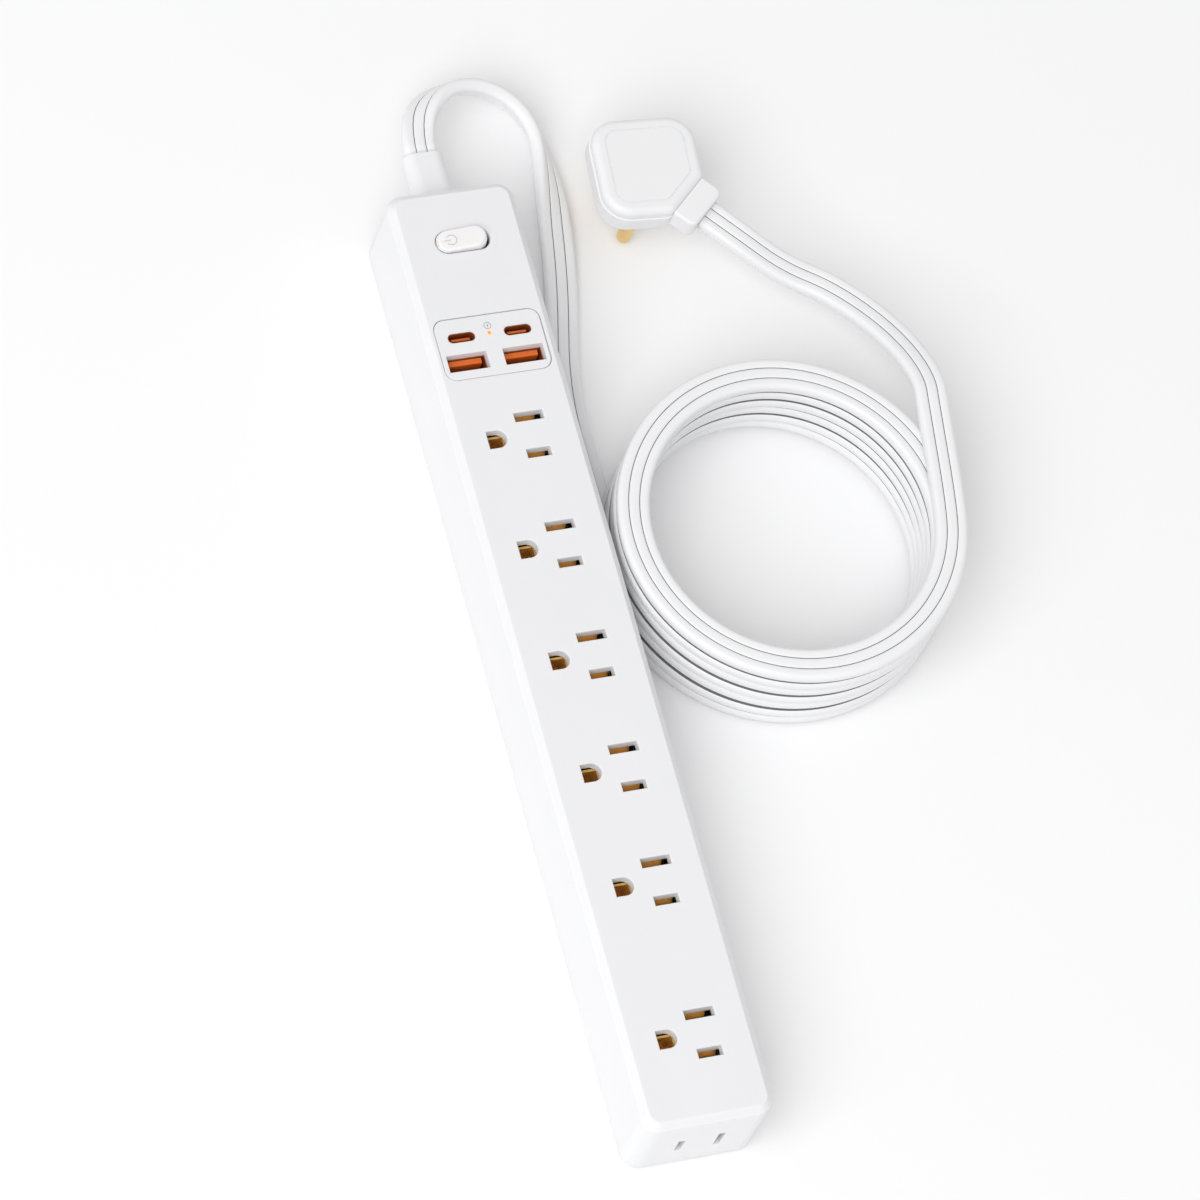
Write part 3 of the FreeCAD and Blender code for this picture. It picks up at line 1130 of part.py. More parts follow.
def check_and_write():
    for obj in doc.Objects:
        if "Invalid" in obj.State or "Error" in obj.State:
            raise RuntimeError("%s is in state %s" % (obj.Name, obj.State))
    for name, obj in nodes.items():
        shape = obj.Shape
        if shape.isNull() or not shape.isValid() or not shape.Solids:
            raise RuntimeError(name + " has no valid solid")
    os.makedirs("parts", exist_ok=True)
    for name, obj in nodes.items():
        obj.Shape.exportStep("parts/%s.step" % name)
        print(name, len(obj.Shape.Solids), "solids", round(obj.Shape.Volume, 1), "mm3")


build()
check_and_write()
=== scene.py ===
import bpy
import bmesh
import json
import math
from mathutils import Matrix, Vector
from mathutils.bvhtree import BVHTree

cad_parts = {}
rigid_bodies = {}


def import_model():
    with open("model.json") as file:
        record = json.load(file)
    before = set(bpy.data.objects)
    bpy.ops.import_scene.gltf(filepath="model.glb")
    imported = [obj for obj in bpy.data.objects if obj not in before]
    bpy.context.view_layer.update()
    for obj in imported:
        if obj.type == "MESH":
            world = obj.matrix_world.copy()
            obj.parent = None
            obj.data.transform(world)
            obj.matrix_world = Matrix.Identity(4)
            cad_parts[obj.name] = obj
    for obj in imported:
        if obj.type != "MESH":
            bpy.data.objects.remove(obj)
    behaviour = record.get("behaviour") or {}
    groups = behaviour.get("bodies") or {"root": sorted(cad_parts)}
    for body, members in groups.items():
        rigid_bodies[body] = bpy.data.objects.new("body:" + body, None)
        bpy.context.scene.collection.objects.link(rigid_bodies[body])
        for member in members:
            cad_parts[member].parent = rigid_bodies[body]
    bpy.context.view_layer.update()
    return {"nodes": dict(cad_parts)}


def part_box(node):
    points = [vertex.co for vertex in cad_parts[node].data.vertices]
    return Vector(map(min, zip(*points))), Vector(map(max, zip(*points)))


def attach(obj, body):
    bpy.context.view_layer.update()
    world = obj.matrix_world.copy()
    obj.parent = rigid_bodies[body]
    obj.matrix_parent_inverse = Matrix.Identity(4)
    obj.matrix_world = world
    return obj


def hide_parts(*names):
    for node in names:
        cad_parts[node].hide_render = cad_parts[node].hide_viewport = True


# start from an empty file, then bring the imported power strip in
for leftover in list(bpy.data.objects):
    bpy.data.objects.remove(leftover, do_unlink=True)
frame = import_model()
print("strip loaded,", len(frame["nodes"]), "nodes")


# ---- small helpers
def mm(*values):
    return Vector([value / 1000 for value in values])


def linkPiece(name, mesh, smooth=True):
    piece = bpy.data.objects.new(name, mesh)
    bpy.context.scene.collection.objects.link(piece)
    if smooth:
        mesh.shade_smooth()
    return piece


def meshPiece(name, points, faces, smooth=True):
    mesh = bpy.data.meshes.new(name)
    mesh.from_pydata([tuple(point) for point in points], [], faces)
    mesh.update()
    return linkPiece(name, mesh, smooth)


def ease(value):
    value = min(1.0, max(0.0, value))
    return value * value * (3 - 2 * value)


# ---- finishes
finishes = {
    "housingWhite": {"colour": (0.84, 0.84, 0.855), "shade": 0.012, "patch": 45, "rough": (0.30, 0.40),
                     "grain": 2600, "depth": 0.012, "reflect": 0.42, "milky": 0.3},
    "switchWhite": {"colour": (0.88, 0.865, 0.865), "shade": 0.012, "patch": 160, "rough": (0.42, 0.54),
                    "grain": 5200, "depth": 0.02, "reflect": 0.35, "milky": 0.4},
    "plugWhite": {"colour": (0.86, 0.86, 0.87), "shade": 0.012, "patch": 120, "rough": (0.36, 0.48),
                  "grain": 4200, "depth": 0.018, "reflect": 0.4},
    "cordWhite": {"colour": (0.87, 0.87, 0.88), "shade": 0.015, "patch": 90, "rough": (0.34, 0.46),
                  "grain": 3600, "depth": 0.015, "reflect": 0.45},
    # painted shade: dark grey laid into the white cord's grooves and into the creases between stacked
    # turns
    "paintedGrooveShade": {"colour": (0.16, 0.16, 0.165), "shade": 0.05, "patch": 200, "rough": (0.6, 0.75),
                   "grain": 3600, "depth": 0.01, "reflect": 0.2},
    "brassWork": {"colour": (0.83, 0.60, 0.27), "shade": 0.1, "patch": 320, "rough": (0.2, 0.34),
                  "grain": 2200, "depth": 0.03, "metal": 1.0, "reflect": 0.5},
    "contactBrass": {"colour": (0.86, 0.50, 0.14), "shade": 0.16, "patch": 420, "rough": (0.24, 0.42),
                     "grain": 2200, "depth": 0.05, "metal": 0.6, "reflect": 0.5},
    "steelWork": {"colour": (0.62, 0.63, 0.65), "shade": 0.08, "patch": 400, "rough": (0.25, 0.4),
                  "grain": 3000, "depth": 0.03, "metal": 1.0, "reflect": 0.5},
    # painted shade: the nickel port shells are painted dark reddish brown for the shaded inside of the
    # ports
    "portPaintedShade": {"colour": (0.22, 0.045, 0.008), "shade": 0.1, "patch": 400, "rough": (0.3, 0.45),
                  "grain": 3000, "depth": 0.02, "reflect": 0.5},
    "orangeTongue": {"colour": (0.78, 0.17, 0.025), "shade": 0.1, "patch": 300, "rough": (0.3, 0.42),
                     "grain": 3800, "depth": 0.02, "reflect": 0.35, "milky": 0.5},
    "lampAmber": {"colour": (0.95, 0.30, 0.02), "shade": 0.05, "patch": 900, "rough": (0.3, 0.4),
                  "grain": 6000, "depth": 0.01, "reflect": 0.4, "glow": ((1.0, 0.22, 0.008), 0.95)},
    "boardGreen": {"colour": (0.03, 0.16, 0.07), "shade": 0.15, "patch": 260, "rough": (0.35, 0.5),
                   "grain": 2500, "depth": 0.03, "reflect": 0.5},
    "blackPlastic": {"colour": (0.02, 0.02, 0.022), "shade": 0.2, "patch": 300, "rough": (0.4, 0.55),
                     "grain": 3500, "depth": 0.03, "reflect": 0.5},
    "blueCeramic": {"colour": (0.04, 0.13, 0.42), "shade": 0.1, "patch": 300, "rough": (0.3, 0.45),
                    "grain": 3000, "depth": 0.05, "reflect": 0.5},
    "wireCover": {"colour": (0.35, 0.35, 0.36), "shade": 0.1, "patch": 300, "rough": (0.4, 0.5),
                  "grain": 3000, "depth": 0.02, "reflect": 0.4},
    "markGrey": {"colour": (0.2, 0.2, 0.205), "shade": 0.08, "patch": 600, "rough": (0.5, 0.6),
                 "grain": 6000, "depth": 0.01, "reflect": 0.3},
    "markPale": {"colour": (0.5, 0.5, 0.51), "shade": 0.05, "patch": 600, "rough": (0.5, 0.6),
                 "grain": 6000, "depth": 0.01, "reflect": 0.3},
}
slotFinish = {
    "white_gloss": "housingWhite", "white_matte": "plugWhite", "cord_jacket": "cordWhite",
    # the nickel port shells take the painted port shade in place of their metal
    "brass": "brassWork", "steel": "steelWork", "nickel": "portPaintedShade", "orange_plastic": "orangeTongue",
    "board_green": "boardGreen", "black_plastic": "blackPlastic", "blue_ceramic": "blueCeramic",
    "amber_light": "lampAmber", "wire_cover": "wireCover",
}
ownFinish = {  # nodes that look unlike the rest of their slot
    "switch_rocker": "switchWhite", "switch_frame": "housingWhite", "neutral_contacts": "contactBrass",
    "live_contacts": "contactBrass", "ground_contacts": "contactBrass",
}


def makeFinish(name):
    facts = finishes[name]
    material = bpy.data.materials.new(name)
    material.use_nodes = True
    nodes, links = material.node_tree.nodes, material.node_tree.links
    shader = nodes["Principled BSDF"]
    where = nodes.new("ShaderNodeTexCoord")
    patch = nodes.new("ShaderNodeTexNoise")  # slow change of colour and gloss
    patch.inputs["Scale"].default_value = facts["patch"]
    patch.inputs["Detail"].default_value = 3
    links.new(where.outputs["Object"], patch.inputs["Vector"])
    tint = nodes.new("ShaderNodeMix")
    tint.data_type = "RGBA"
    colour = Vector(facts["colour"])
    tint.inputs[6].default_value = (*(colour * (1 - facts["shade"])), 1)
    tint.inputs[7].default_value = (*(colour * (1 + facts["shade"])), 1)
    links.new(patch.outputs["Fac"], tint.inputs[0])
    links.new(tint.outputs[2], shader.inputs["Base Color"])
    gloss = nodes.new("ShaderNodeMapRange")
    gloss.inputs["From Min"].default_value = 0.3
    gloss.inputs["From Max"].default_value = 0.7
    gloss.inputs["To Min"].default_value = facts["rough"][0]
    gloss.inputs["To Max"].default_value = facts["rough"][1]
    links.new(patch.outputs["Fac"], gloss.inputs["Value"])
    links.new(gloss.outputs["Result"], shader.inputs["Roughness"])
    grain = nodes.new("ShaderNodeTexNoise")  # the fine grain of the mould or the drawing
    grain.inputs["Scale"].default_value = facts["grain"]
    grain.inputs["Detail"].default_value = 2
    links.new(where.outputs["Object"], grain.inputs["Vector"])
    bump = nodes.new("ShaderNodeBump")
    bump.inputs["Strength"].default_value = 0.35
    bump.inputs["Distance"].default_value = facts["depth"] / 1000
    links.new(grain.outputs["Fac"], bump.inputs["Height"])
    links.new(bump.outputs["Normal"], shader.inputs["Normal"])
    shader.inputs["Metallic"].default_value = facts.get("metal", 0.0)
    shader.inputs["Specular IOR Level"].default_value = facts["reflect"]
    if "milky" in facts:  # light soaks a little way into white plastic
        shader.inputs["Subsurface Weight"].default_value = facts["milky"]
        shader.inputs["Subsurface Radius"].default_value = (1.0, 0.95, 0.9)
        shader.inputs["Subsurface Scale"].default_value = 0.0011
    if "glow" in facts:
        shader.inputs["Emission Color"].default_value = (*facts["glow"][0], 1)
        shader.inputs["Emission Strength"].default_value = facts["glow"][1]
    return material


paints = {name: makeFinish(name) for name in finishes}
for name, node in frame["nodes"].items():
    slotName = node.data.materials[0].name.split(".")[0]
    node.data.materials.clear()
    node.data.materials.append(paints[ownFinish.get(name, slotFinish[slotName])])
print("finishes made:", len(paints))


def settle(piece, body, slotName, *finishNames):
    # the piece gets its paint and rides with its body
    for finishName in finishNames:
        piece.data.materials.append(paints[finishName])
    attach(piece, body)
    return piece


# ---- camera
camera = {
    "place": (-0.65117, -0.78965, 1.97547),
    "aim": (0.01668826, 0.01956268, 0.017),
    "roll": 27.146,  # degrees, clockwise tilt of the strip in the picture
    "lens": 214.683,
    "sensor": 36.0,
}


def makeCamera():
    lens = bpy.data.cameras.new("stripCamera")
    lens.lens = camera["lens"]
    lens.sensor_width = camera["sensor"]
    lens.sensor_fit = "HORIZONTAL"
    lens.clip_start = 0.05
    lens.clip_end = 20
    holder = bpy.data.objects.new("stripCamera", lens)
    bpy.context.scene.collection.objects.link(holder)
    look = Vector(camera["aim"]) - Vector(camera["place"])
    turn = look.to_track_quat("-Z", "Y").to_matrix().to_4x4()
    holder.matrix_world = (Matrix.Translation(Vector(camera["place"])) @ turn
                           @ Matrix.Rotation(math.radians(camera["roll"]), 4, "Z"))
    bpy.context.scene.camera = holder


makeCamera()
print("camera placed")

# ---- the flat cord, from the strain relief through the coil to the plug
cordRun = {
    "wide": 10.5, "thick": 4.5, "length": 2.43,
    "lead": [(0, 179.35, 17), (0, 191.35, 17), (12.5, 203.85, 15.6), (30, 204.35, 11.6),
             (42.4, 191.85, 8), (43.2, 168.35, 4.8), (38.6, 135.35, 2.6), (28.7, 98, 2.3),
             (28.7, 66, 2.3), (28.7, 44, 2.3)],
    "ringMiddle": (79.45, 30), "ringRadius": 50.75, "ringStart": 180, "ringEnd": 2512,
    "ringStep": 15, "lowest": 2.3, "highest": 34.95,
    "wander": (0.0, 0.35, -0.25, 0.2, -0.3, 0.15, 0.0, 0.0),  # each turn's own size
    "tail": [(134.72, 58.59, 34.95), (136.39, 70.47, 34.95), (132.22, 90.59, 27.45),
             (120.22, 111.59, 19.95), (104.98, 121.14, 20.5), (91.48, 132.22, 26),
             (83.61, 141.28, 26)],
    # where another turn lies on top, the rounded edges near the flat get painted crease shade
    "covered": (232, 1960),  # mm along the cord where another turn lies on top of it
    # how far the ribbon is rolled onto its edge, by distance along it in mm
    "roll": ((0, 0), (5, 0), (34, 70), (62, 70), (104, 0)),
    "edge": 1.7, "edgeSteps": 8, "edgeFull": 0.75, "midline": 0.08, "creaseFrom": 5,
    # across, sunk below the flat, and 1 where the groove gets painted shade
    "groove": ((2.4, 0.05, 0), (1.98, 0.16, 0), (1.86, 0.3, 1), (1.75, 0.62, 1),
               (1.64, 0.3, 1), (1.52, 0.16, 0), (1.1, 0.05, 0), (0.5, 0.0, 0)),
}


def cordPoints():
    run = cordRun
    points = [mm(*point) for point in run["lead"]]
    sweep = run["ringEnd"] - run["ringStart"]
    steps = round(sweep / run["ringStep"])
    grow = 1 / math.cos(math.radians(sweep / steps / 2))
    for step in range(steps + 1):
        share = step / steps
        angle = math.radians(run["ringStart"] + sweep * share)
        turn = share * sweep / 360
        first = int(turn)
        own, following = run["wander"][first:first + 2]
        own += (following - own) * ease(turn - first)
        reach = (run["ringRadius"] + own) * grow
        points.append(mm(run["ringMiddle"][0] + reach * math.cos(angle),
                         run["ringMiddle"][1] + reach * math.sin(angle),
                         run["lowest"] + (run["highest"] - run["lowest"]) * share))
    points += [mm(*point) for point in run["tail"]]
    return points


def readLine(points, name):
    # the cord's own line: one smooth NURBS spline through its control points
    curve = bpy.data.curves.new(name, "CURVE")
    curve.dimensions = "3D"
    spline = curve.splines.new("NURBS")
    spline.points.add(len(points) - 1)
    for knot, point in zip(spline.points, points):
        knot.co = (*point, 1)
    spline.order_u = 3
    spline.use_endpoint_u = True
    spline.resolution_u = 6
    holder = bpy.data.objects.new(name, curve)
    bpy.context.scene.collection.objects.link(holder)
    bpy.context.view_layer.update()
    line = bpy.data.meshes.new_from_object(holder)
    read = [vertex.co.copy() for vertex in line.vertices]
    bpy.data.objects.remove(holder, do_unlink=True)
    return read


def ribbonSection():
    # three round cores side by side, with a fine groove between neighbours on both faces
    run = cordRun
    wide, thick = run["wide"] / 2, run["thick"] / 2
    edge, midline = run["edge"], run["midline"]
    half = []
    for step in range(run["edgeSteps"] + 1):  # rounded edge, from the side to the flat
        angle = math.radians(step * 90 / run["edgeSteps"])
        rise = midline + (thick - midline) * math.sin(angle) ** run["edgeFull"]
        # kind 2 marks the rounded edge near the flat, painted with crease shade where covered; kind 1
        # marks painted groove shade
        half.append((wide - edge + edge * math.cos(angle), rise, 2 if step >= run["creaseFrom"] else 0))
    half += [(across, thick - sunk, paintedShade) for across, sunk, paintedShade in run["groove"]]
    top = half + [(-x, y, paintedShade) for x, y, paintedShade in reversed(half)]
    # the underside keeps the painted groove shade but not the painted crease shade
    under = [(x, -y, paintedShade % 2) for x, y, paintedShade in reversed(top)]
    return top + under


def rollAt(far):
    lean = 0.0
    for (start, low), (end, high) in zip(cordRun["roll"], cordRun["roll"][1:]):
        if start <= far <= end:
            lean = low + (high - low) * ease((far - start) / (end - start))
    return math.radians(lean)


def makeRibbon():
    line = readLine(cordPoints(), "cordLine")
    section = ribbonSection()
    count = len(section)
    travelled = [0.0]
    for before, after in zip(line, line[1:]):
        travelled.append(travelled[-1] + (after - before).length)
    points, faces, paintedShade = [], [], []
    for index, point in enumerate(line):
        ahead = line[min(index + 1, len(line) - 1)] - line[max(index - 1, 0)]
        ahead.normalize()
        side = Vector((ahead.y, -ahead.x, 0)).normalized()
        above = side.cross(ahead)
        far = travelled[index] * 1000
        lean = rollAt(far)
        across = side * math.cos(lean) + above * math.sin(lean)
        outward = above * math.cos(lean) - side * math.sin(lean)
        for x, y, kind in section:
            points.append(point + across * (x / 1000) + outward * (y / 1000))
        if index:
            covered = cordRun["covered"][0] < far < cordRun["covered"][1]
            base = (index - 1) * count
            for k in range(count):
                after = (k + 1) % count
                faces.append((base + k, base + after, base + count + after, base + count + k))
                # painted shade: groove faces, and the crease faces of covered turns, take the dark grey
                # finish
                kinds = (section[k][2], section[after][2])
                paintedShade.append(kinds == (1, 1) or (covered and kinds == (2, 2)))
    faces.append(tuple(reversed(range(count))))
    faces.append(tuple(range(len(points) - count, len(points))))
    paintedShade += [False, False]
    ribbon = meshPiece("cordRibbon", points, faces)
    # the second finish is the painted shade of the grooves and creases
    settle(ribbon, "housing", "cord_jacket", "cordWhite", "paintedGrooveShade")
    for face, getsPaintedShade in zip(ribbon.data.polygons, paintedShade):
        face.material_index = 1 if getsPaintedShade else 0
    return ribbon, line, travelled[-1]


ribbon, cordLine, cordLength = makeRibbon()
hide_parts("cord_lead", "cord_coil", "plug_lead")
print("cord made, %.3f m long" % cordLength)

# ---- screws, blades and ground pin, with the detail that the CAD leaves plain
screwFacts = {
    "headRadius": 2.6, "headThick": 1.4, "dome": 0.3, "rings": 15, "sectors": 72,
    "crossReach": 1.55, "crossHalf": 0.32, "crossDeep": 0.75, "crossSlope": 0.55,
    "armRoot": 1.25, "armTaper": 0.35,
    "shankRadius": 1.38, "shankSides": 24, "levels": 60, "pitch": 1.1, "thread": 0.22,
    "tip": 2.4, "tipShare": 0.35,
    "middleRow": -24.1,  # the middle pair of housing screws, along the strip
}
bladeFacts = {
    "liveWide": 6.35, "neutralWide": 7.9, "thick": 1.5, "tipSide": 1.3, "tipFace": 1.4, "soften": 0.18,
    "holeRadius": 1.6, "holeUp": 7.4, "holeSides": 32, "sharp": 0.6,
    "turn": -4.0,  # the plug stands turned; its blades are modelled level and turned with it
}
pinFacts = {"sectors": 40, "rounds": 10, "tipFlat": 0.18, "tipTall": 0.8}


def revolve(profile, middle, sectors, ridge=None):
    # rings of points about an upright line; ridge gives each point's own radius change
    points, faces = [], []
    for radius, level in profile:
        for k in range(sectors):
            angle = 2 * math.pi * k / sectors
            reach = radius + (ridge(level, angle) if ridge else 0)
            points.append(Vector((middle.x + reach * math.cos(angle),
                                  middle.y + reach * math.sin(angle), level)))
    for ring in range(len(profile) - 1):
        base = ring * sectors
        for k in range(sectors):
            after = (k + 1) % sectors
            faces.append((base + k, base + after, base + sectors + after, base + sectors + k))
    faces.append(tuple(reversed(range(sectors))))
    faces.append(tuple(range(len(points) - sectors, len(points))))
    return points, faces


def screwHead(middle, face, away, radius, thick):
    # a low dome with a cross sunk into it; away is -1 when the head looks down
    facts = screwFacts
    points = [Vector((middle.x, middle.y, face - away * facts["crossDeep"] / 1000))]
    faces = []
    rings, sectors = facts["rings"], facts["sectors"]
    for ring in range(1, rings + 1):
        share = ring / rings
        for k in range(sectors):
            angle = 2 * math.pi * k / sectors
            x, y = radius * share * math.cos(angle), radius * share * math.sin(angle)
            near, far = sorted((abs(x) * 1000, abs(y) * 1000))
            out = far / facts["crossReach"]
            if near < facts["crossHalf"] * (facts["armRoot"] - facts["armTaper"] * out) and out < 1:
                drop = facts["crossDeep"] * (1 - facts["crossSlope"] * out)
            else:
                drop = facts["dome"] * share ** 4
            points.append(Vector((middle.x + x, middle.y + y, face - away * drop / 1000)))
    for k in range(sectors):
        angle = 2 * math.pi * k / sectors
        points.append(Vector((middle.x + radius * math.cos(angle), middle.y + radius * math.sin(angle),
                              face - away * thick)))
    for k in range(sectors):
        faces.append((0, 1 + k, 1 + (k + 1) % sectors))
    for ring in range(rings):
        base = 1 + ring * sectors
        for k in range(sectors):
            after = (k + 1) % sectors
            faces.append((base + k, base + sectors + k, base + sectors + after, base + after))
    faces.append(tuple(range(len(points) - sectors, len(points))))
    return points, faces


def turnOutward(piece):
    mesh = bmesh.new()
    mesh.from_mesh(piece.data)
    bmesh.ops.recalc_face_normals(mesh, faces=mesh.faces)
    mesh.to_mesh(piece.data)
    mesh.free()
    return piece


def makeScrews(name, nodeName, rows, headDown):
    low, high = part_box(nodeName)
    away = -1 if headDown else 1
    face = low.z if headDown else high.z
    end = high.z if headDown else low.z
    facts = screwFacts
    sizes = ("headRadius", "headThick", "shankRadius")
    headRadius, headThick, shankRadius = (facts[size] / 1000 for size in sizes)
    points, faces = [], []
    for x, y in [(x, y) for x in (low.x + headRadius, high.x - headRadius) for y in rows]:
        middle = Vector((x, y, 0))
        start = face - away * headThick
        levels = [start + (end - start) * step / facts["levels"] for step in range(facts["levels"] + 1)]

        def ridge(level, angle):
            turns = (level - start) * 1000 / facts["pitch"] - angle / (2 * math.pi)
            return -facts["thread"] / 1000 * abs(2 * (turns % 1) - 1)

        profile = []
        for level in levels:
            left = abs(end - level) * 1000
            narrow = facts["tipShare"] + (1 - facts["tipShare"]) * left / facts["tip"]
            profile.append((shankRadius * min(1, narrow), level))
        for shape in (screwHead(middle, face, away, headRadius, headThick),
                      revolve(profile, middle, facts["shankSides"], ridge)):
            base = len(points)
            points += shape[0]
            faces += [tuple(base + corner for corner in loop) for loop in shape[1]]
    piece = turnOutward(meshPiece(name, points, faces))
    settle(piece, "housing", "steel", "steelWork")
    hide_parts(nodeName)


def makeBlade(name, nodeName, wide):
    # a flat strip with a tapered tip and the usual hole, softened along its edges
    facts = bladeFacts
    low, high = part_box(nodeName)
    centre = (low + high) / 2
    half, thick = wide / 2, facts["thick"] / 2
    tall = (high.z - low.z) * 1000
    outline = [(-half, tall), (-half, facts["tipFace"]), (-half + facts["tipSide"], 0),
               (half - facts["tipSide"], 0), (half, facts["tipFace"]), (half, tall)]
    hole = []
    for k in range(facts["holeSides"]):
        angle = 2 * math.pi * k / facts["holeSides"]
        hole.append((facts["holeRadius"] * math.cos(angle),
                     facts["holeUp"] + facts["holeRadius"] * math.sin(angle)))
    shape = bmesh.new()
    edges = []
    for loop in (outline, hole):
        corners = [shape.verts.new(mm(-thick, across, up)) for across, up in loop]
        for corner, following in zip(corners, corners[1:] + corners[:1]):
            edges.append(shape.edges.new((corner, following)))
    bmesh.ops.triangle_fill(shape, use_beauty=True, edges=edges)
    grown = bmesh.ops.extrude_face_region(shape, geom=shape.faces[:])
    moved = [part for part in grown["geom"] if isinstance(part, bmesh.types.BMVert)]
    bmesh.ops.translate(shape, verts=moved, vec=mm(2 * thick, 0, 0))
    bmesh.ops.recalc_face_normals(shape, faces=shape.faces)
    rims = [edge for edge in shape.edges
            if len(edge.link_faces) == 2 and edge.calc_face_angle() > facts["sharp"]]
    bmesh.ops.bevel(shape, geom=rims, offset=facts["soften"] / 1000, segments=2, profile=0.5,
                    affect="EDGES")
    turn = Matrix.Rotation(math.radians(bladeFacts["turn"]), 4, "Z")
    place = Matrix.Translation((centre.x, centre.y, low.z)) @ turn
    bmesh.ops.transform(shape, matrix=place, verts=shape.verts)
    mesh = bpy.data.meshes.new(name)
    shape.to_mesh(mesh)
    shape.free()
    piece = settle(linkPiece(name, mesh, smooth=False), "housing", "brass", "brassWork")
    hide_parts(nodeName)
    return piece


def makePin(name, nodeName):
    # a round pin with a domed tip
    low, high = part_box(nodeName)
    middle = (low + high) / 2
    radius = (high.x - low.x) / 2
    flat, tall = pinFacts["tipFlat"], pinFacts["tipTall"]
    profile = []
    for step in range(pinFacts["rounds"] + 1):
        angle = math.pi / 2 * step / pinFacts["rounds"]
        profile.append((radius * (flat + (1 - flat) * math.sin(angle)),
                        low.z + radius * tall * (1 - math.cos(angle))))
    profile.append((radius, high.z))
    piece = turnOutward(meshPiece(name, *revolve(profile, middle, pinFacts["sectors"])))
    settle(piece, "housing", "brass", "brassWork")
    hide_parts(nodeName)
    return piece


def makeHardware():
    head = screwFacts["headRadius"] / 1000
    low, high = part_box("housing_screws")
    makeScrews("crossScrews", "housing_screws",
               (low.y + head, screwFacts["middleRow"] / 1000, high.y - head), headDown=True)
    low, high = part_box("clamp_screws")
    makeScrews("clampScrews", "clamp_screws", ((low.y + high.y) / 2,), headDown=False)
    return [makeBlade("liveBlade", "plug_live_blade", bladeFacts["liveWide"]),
            makeBlade("neutralBlade", "plug_neutral_blade", bladeFacts["neutralWide"]),
            makePin("groundPin", "plug_ground_pin")]


onTheCord = makeHardware()
for nodeName in ("strain_relief", "plug_sleeve", "plug_body", "plug_cap", "plug_core"):
    onTheCord.append(frame["nodes"][nodeName])
print("screws, blades and pin made")

# ---- marks on the switch and the USB panel
powerMark = {"middle": (-4.1, 140.4), "ring": 1.7, "line": 0.2, "gap": 38, "stem": (-2.3, -0.1)}
chargeMark = {"middle": (0.0, 110.0), "ring": 1.12, "line": 0.13,
              "bolt": [(0.16, 0.66), (-0.30, -0.06), (-0.02, -0.06),
                       (-0.16, -0.66), (0.30, 0.08), (0.02, 0.08)]}


def strokePoints(outline, thickness, surface):
    # the upper and lower edge of a thin line of ink, pressed onto a surface from above
    points = []
    for lift in (thickness, -thickness):
        for x, y in outline:
            hit = surface.ray_cast(mm(x, y, 60), Vector((0, 0, -1)))[0]
            points.append(Vector((x / 1000, y / 1000, hit.z + lift / 1000)))
    return points


def ringOutline(middle, radius, line, start, end, steps):
    outer, inner = [], []
    for step in range(steps + 1):
        angle = math.radians(start + (end - start) * step / steps)
        for loop, reach in ((outer, radius + line / 2), (inner, radius - line / 2)):
            loop.append((middle[0] + reach * math.cos(angle), middle[1] + reach * math.sin(angle)))
    return outer, inner


def inkPiece(name, shapes, surface, thickness=0.02):
    # shapes are pairs of matching edges; the ink lies between them
    points, faces = [], []
    for left, right in shapes:
        base = len(points)
        count = len(left)
        points += strokePoints(left, thickness, surface) + strokePoints(right, thickness, surface)
        top, low, topRight, lowRight = (base + k * count for k in range(4))
        for k in range(count - 1):
            faces += [(top + k, topRight + k, topRight + k + 1, top + k + 1),
                      (low + k, low + k + 1, lowRight + k + 1, lowRight + k),
                      (top + k, top + k + 1, low + k + 1, low + k),
                      (topRight + k, lowRight + k, lowRight + k + 1, topRight + k + 1)]
        last = count - 1
        faces += [(top, low, lowRight, topRight),
                  (top + last, topRight + last, lowRight + last, low + last)]
    return turnOutward(meshPiece(name, points, faces, smooth=False))


def surfaceOf(nodeName):
    return BVHTree.FromObject(frame["nodes"][nodeName], bpy.context.evaluated_depsgraph_get())


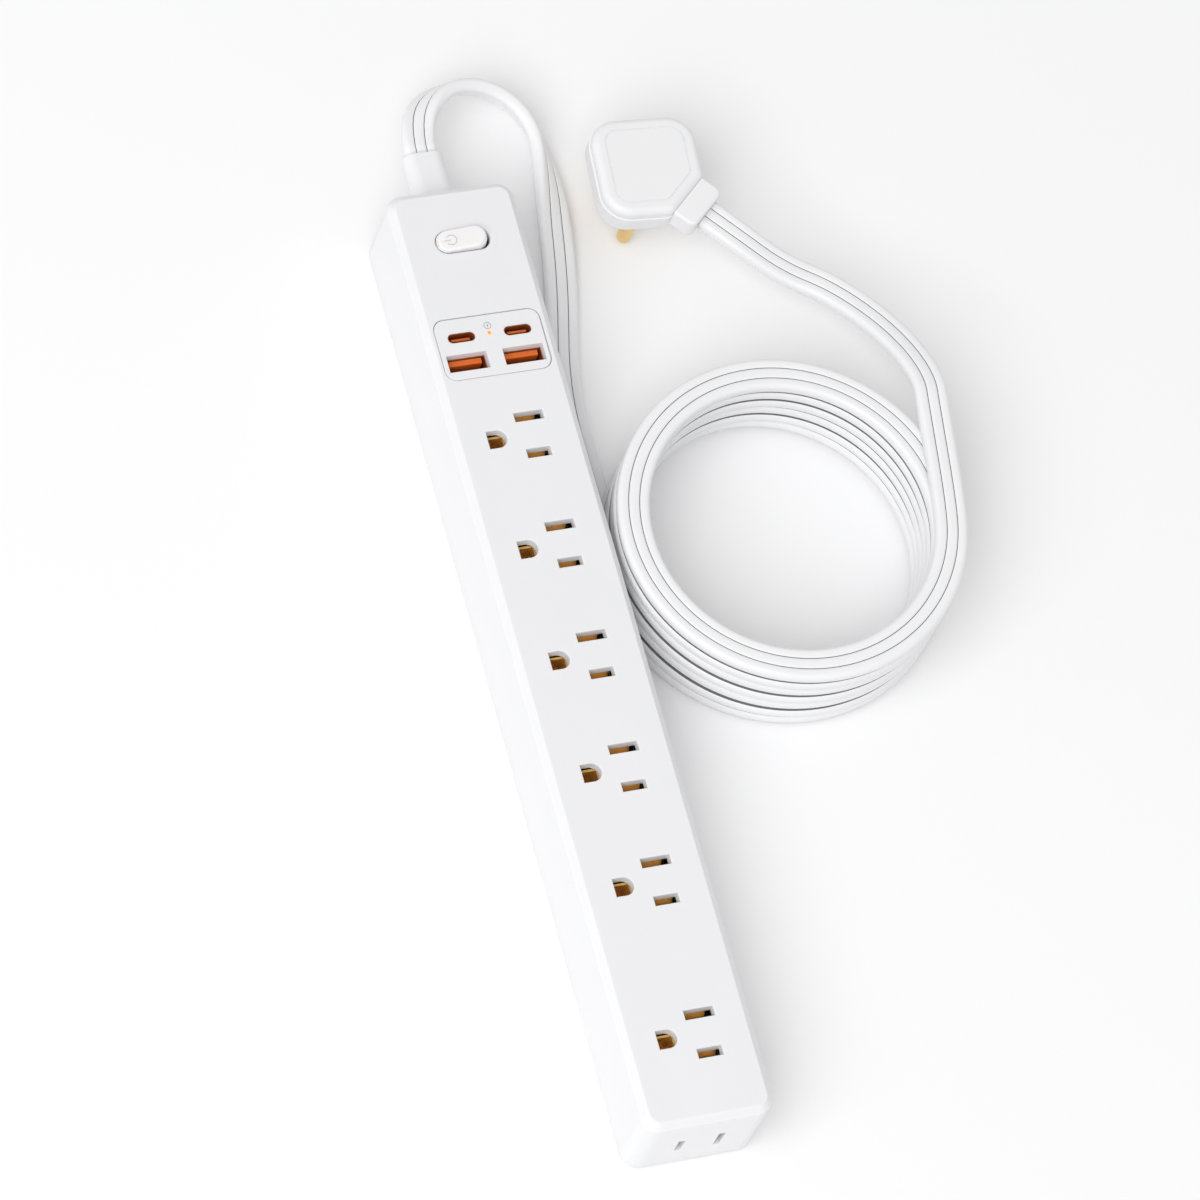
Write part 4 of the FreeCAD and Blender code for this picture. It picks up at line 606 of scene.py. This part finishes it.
def makeMarks():
    facts = powerMark
    x, y = facts["middle"]
    ring = ringOutline(facts["middle"], facts["ring"], facts["line"],
                       180 + facts["gap"], 540 - facts["gap"], 40)
    half = facts["line"] / 2
    stem = ([(x + facts["stem"][0], y + half), (x + facts["stem"][1], y + half)],
            [(x + facts["stem"][0], y - half), (x + facts["stem"][1], y - half)])
    power = inkPiece("powerMark", [ring, stem], surfaceOf("switch_rocker"))
    settle(power, "rocker", "white_matte", "markPale")
    facts = chargeMark
    x, y = facts["middle"]
    circle = ringOutline(facts["middle"], facts["ring"], facts["line"], 0, 360, 48)
    bolt = [(x + dx, y + dy) for dx, dy in facts["bolt"]]
    boltHalves = [([bolt[0], bolt[5]], [bolt[1], bolt[2]]), ([bolt[5], bolt[4]], [bolt[2], bolt[3]])]
    charge = inkPiece("chargeMark", [circle] + boltHalves, surfaceOf("usb_panel"))
    settle(charge, "housing", "white_gloss", "markGrey")


makeMarks()
print("marks drawn")

# ---- floor and light
studio = {"floorSize": 6.0, "floorColour": (0.95, 0.95, 0.955), "floorDrop": 0.0002, "air": 0.62,
          "keyPower": 69, "keySize": 2.6, "keyPlace": (-1.71, -1.23, 2.54)}


def makeStudio():
    reach = studio["floorSize"] / 2
    corners = [(-reach, -reach, 0), (reach, -reach, 0), (reach, reach, 0), (-reach, reach, 0)]
    floor = meshPiece("floor", corners, [(0, 1, 2, 3)], smooth=False)
    floor.location.z = -studio["floorDrop"]
    material = bpy.data.materials.new("floorPaper")
    material.use_nodes = True
    paper = material.node_tree.nodes["Principled BSDF"]
    paper.inputs["Base Color"].default_value = (*studio["floorColour"], 1)
    paper.inputs["Roughness"].default_value = 0.9
    paper.inputs["Specular IOR Level"].default_value = 0.1
    floor.data.materials.append(material)
    air = bpy.data.worlds.new("studioAir")
    air.use_nodes = True
    air.node_tree.nodes["Background"].inputs["Color"].default_value = (1, 1, 1, 1)
    air.node_tree.nodes["Background"].inputs["Strength"].default_value = studio["air"]
    bpy.context.scene.world = air
    key = bpy.data.lights.new("keyLight", "AREA")
    key.shape = "SQUARE"
    key.size = studio["keySize"]
    key.energy = studio["keyPower"]
    holder = bpy.data.objects.new("keyLight", key)
    bpy.context.scene.collection.objects.link(holder)
    holder.location = studio["keyPlace"]
    holder.rotation_mode = "QUATERNION"
    holder.rotation_quaternion = (-Vector(studio["keyPlace"])).to_track_quat("-Z", "Y")
    bpy.context.scene.view_settings.view_transform = "Standard"


makeStudio()
print("studio lit")
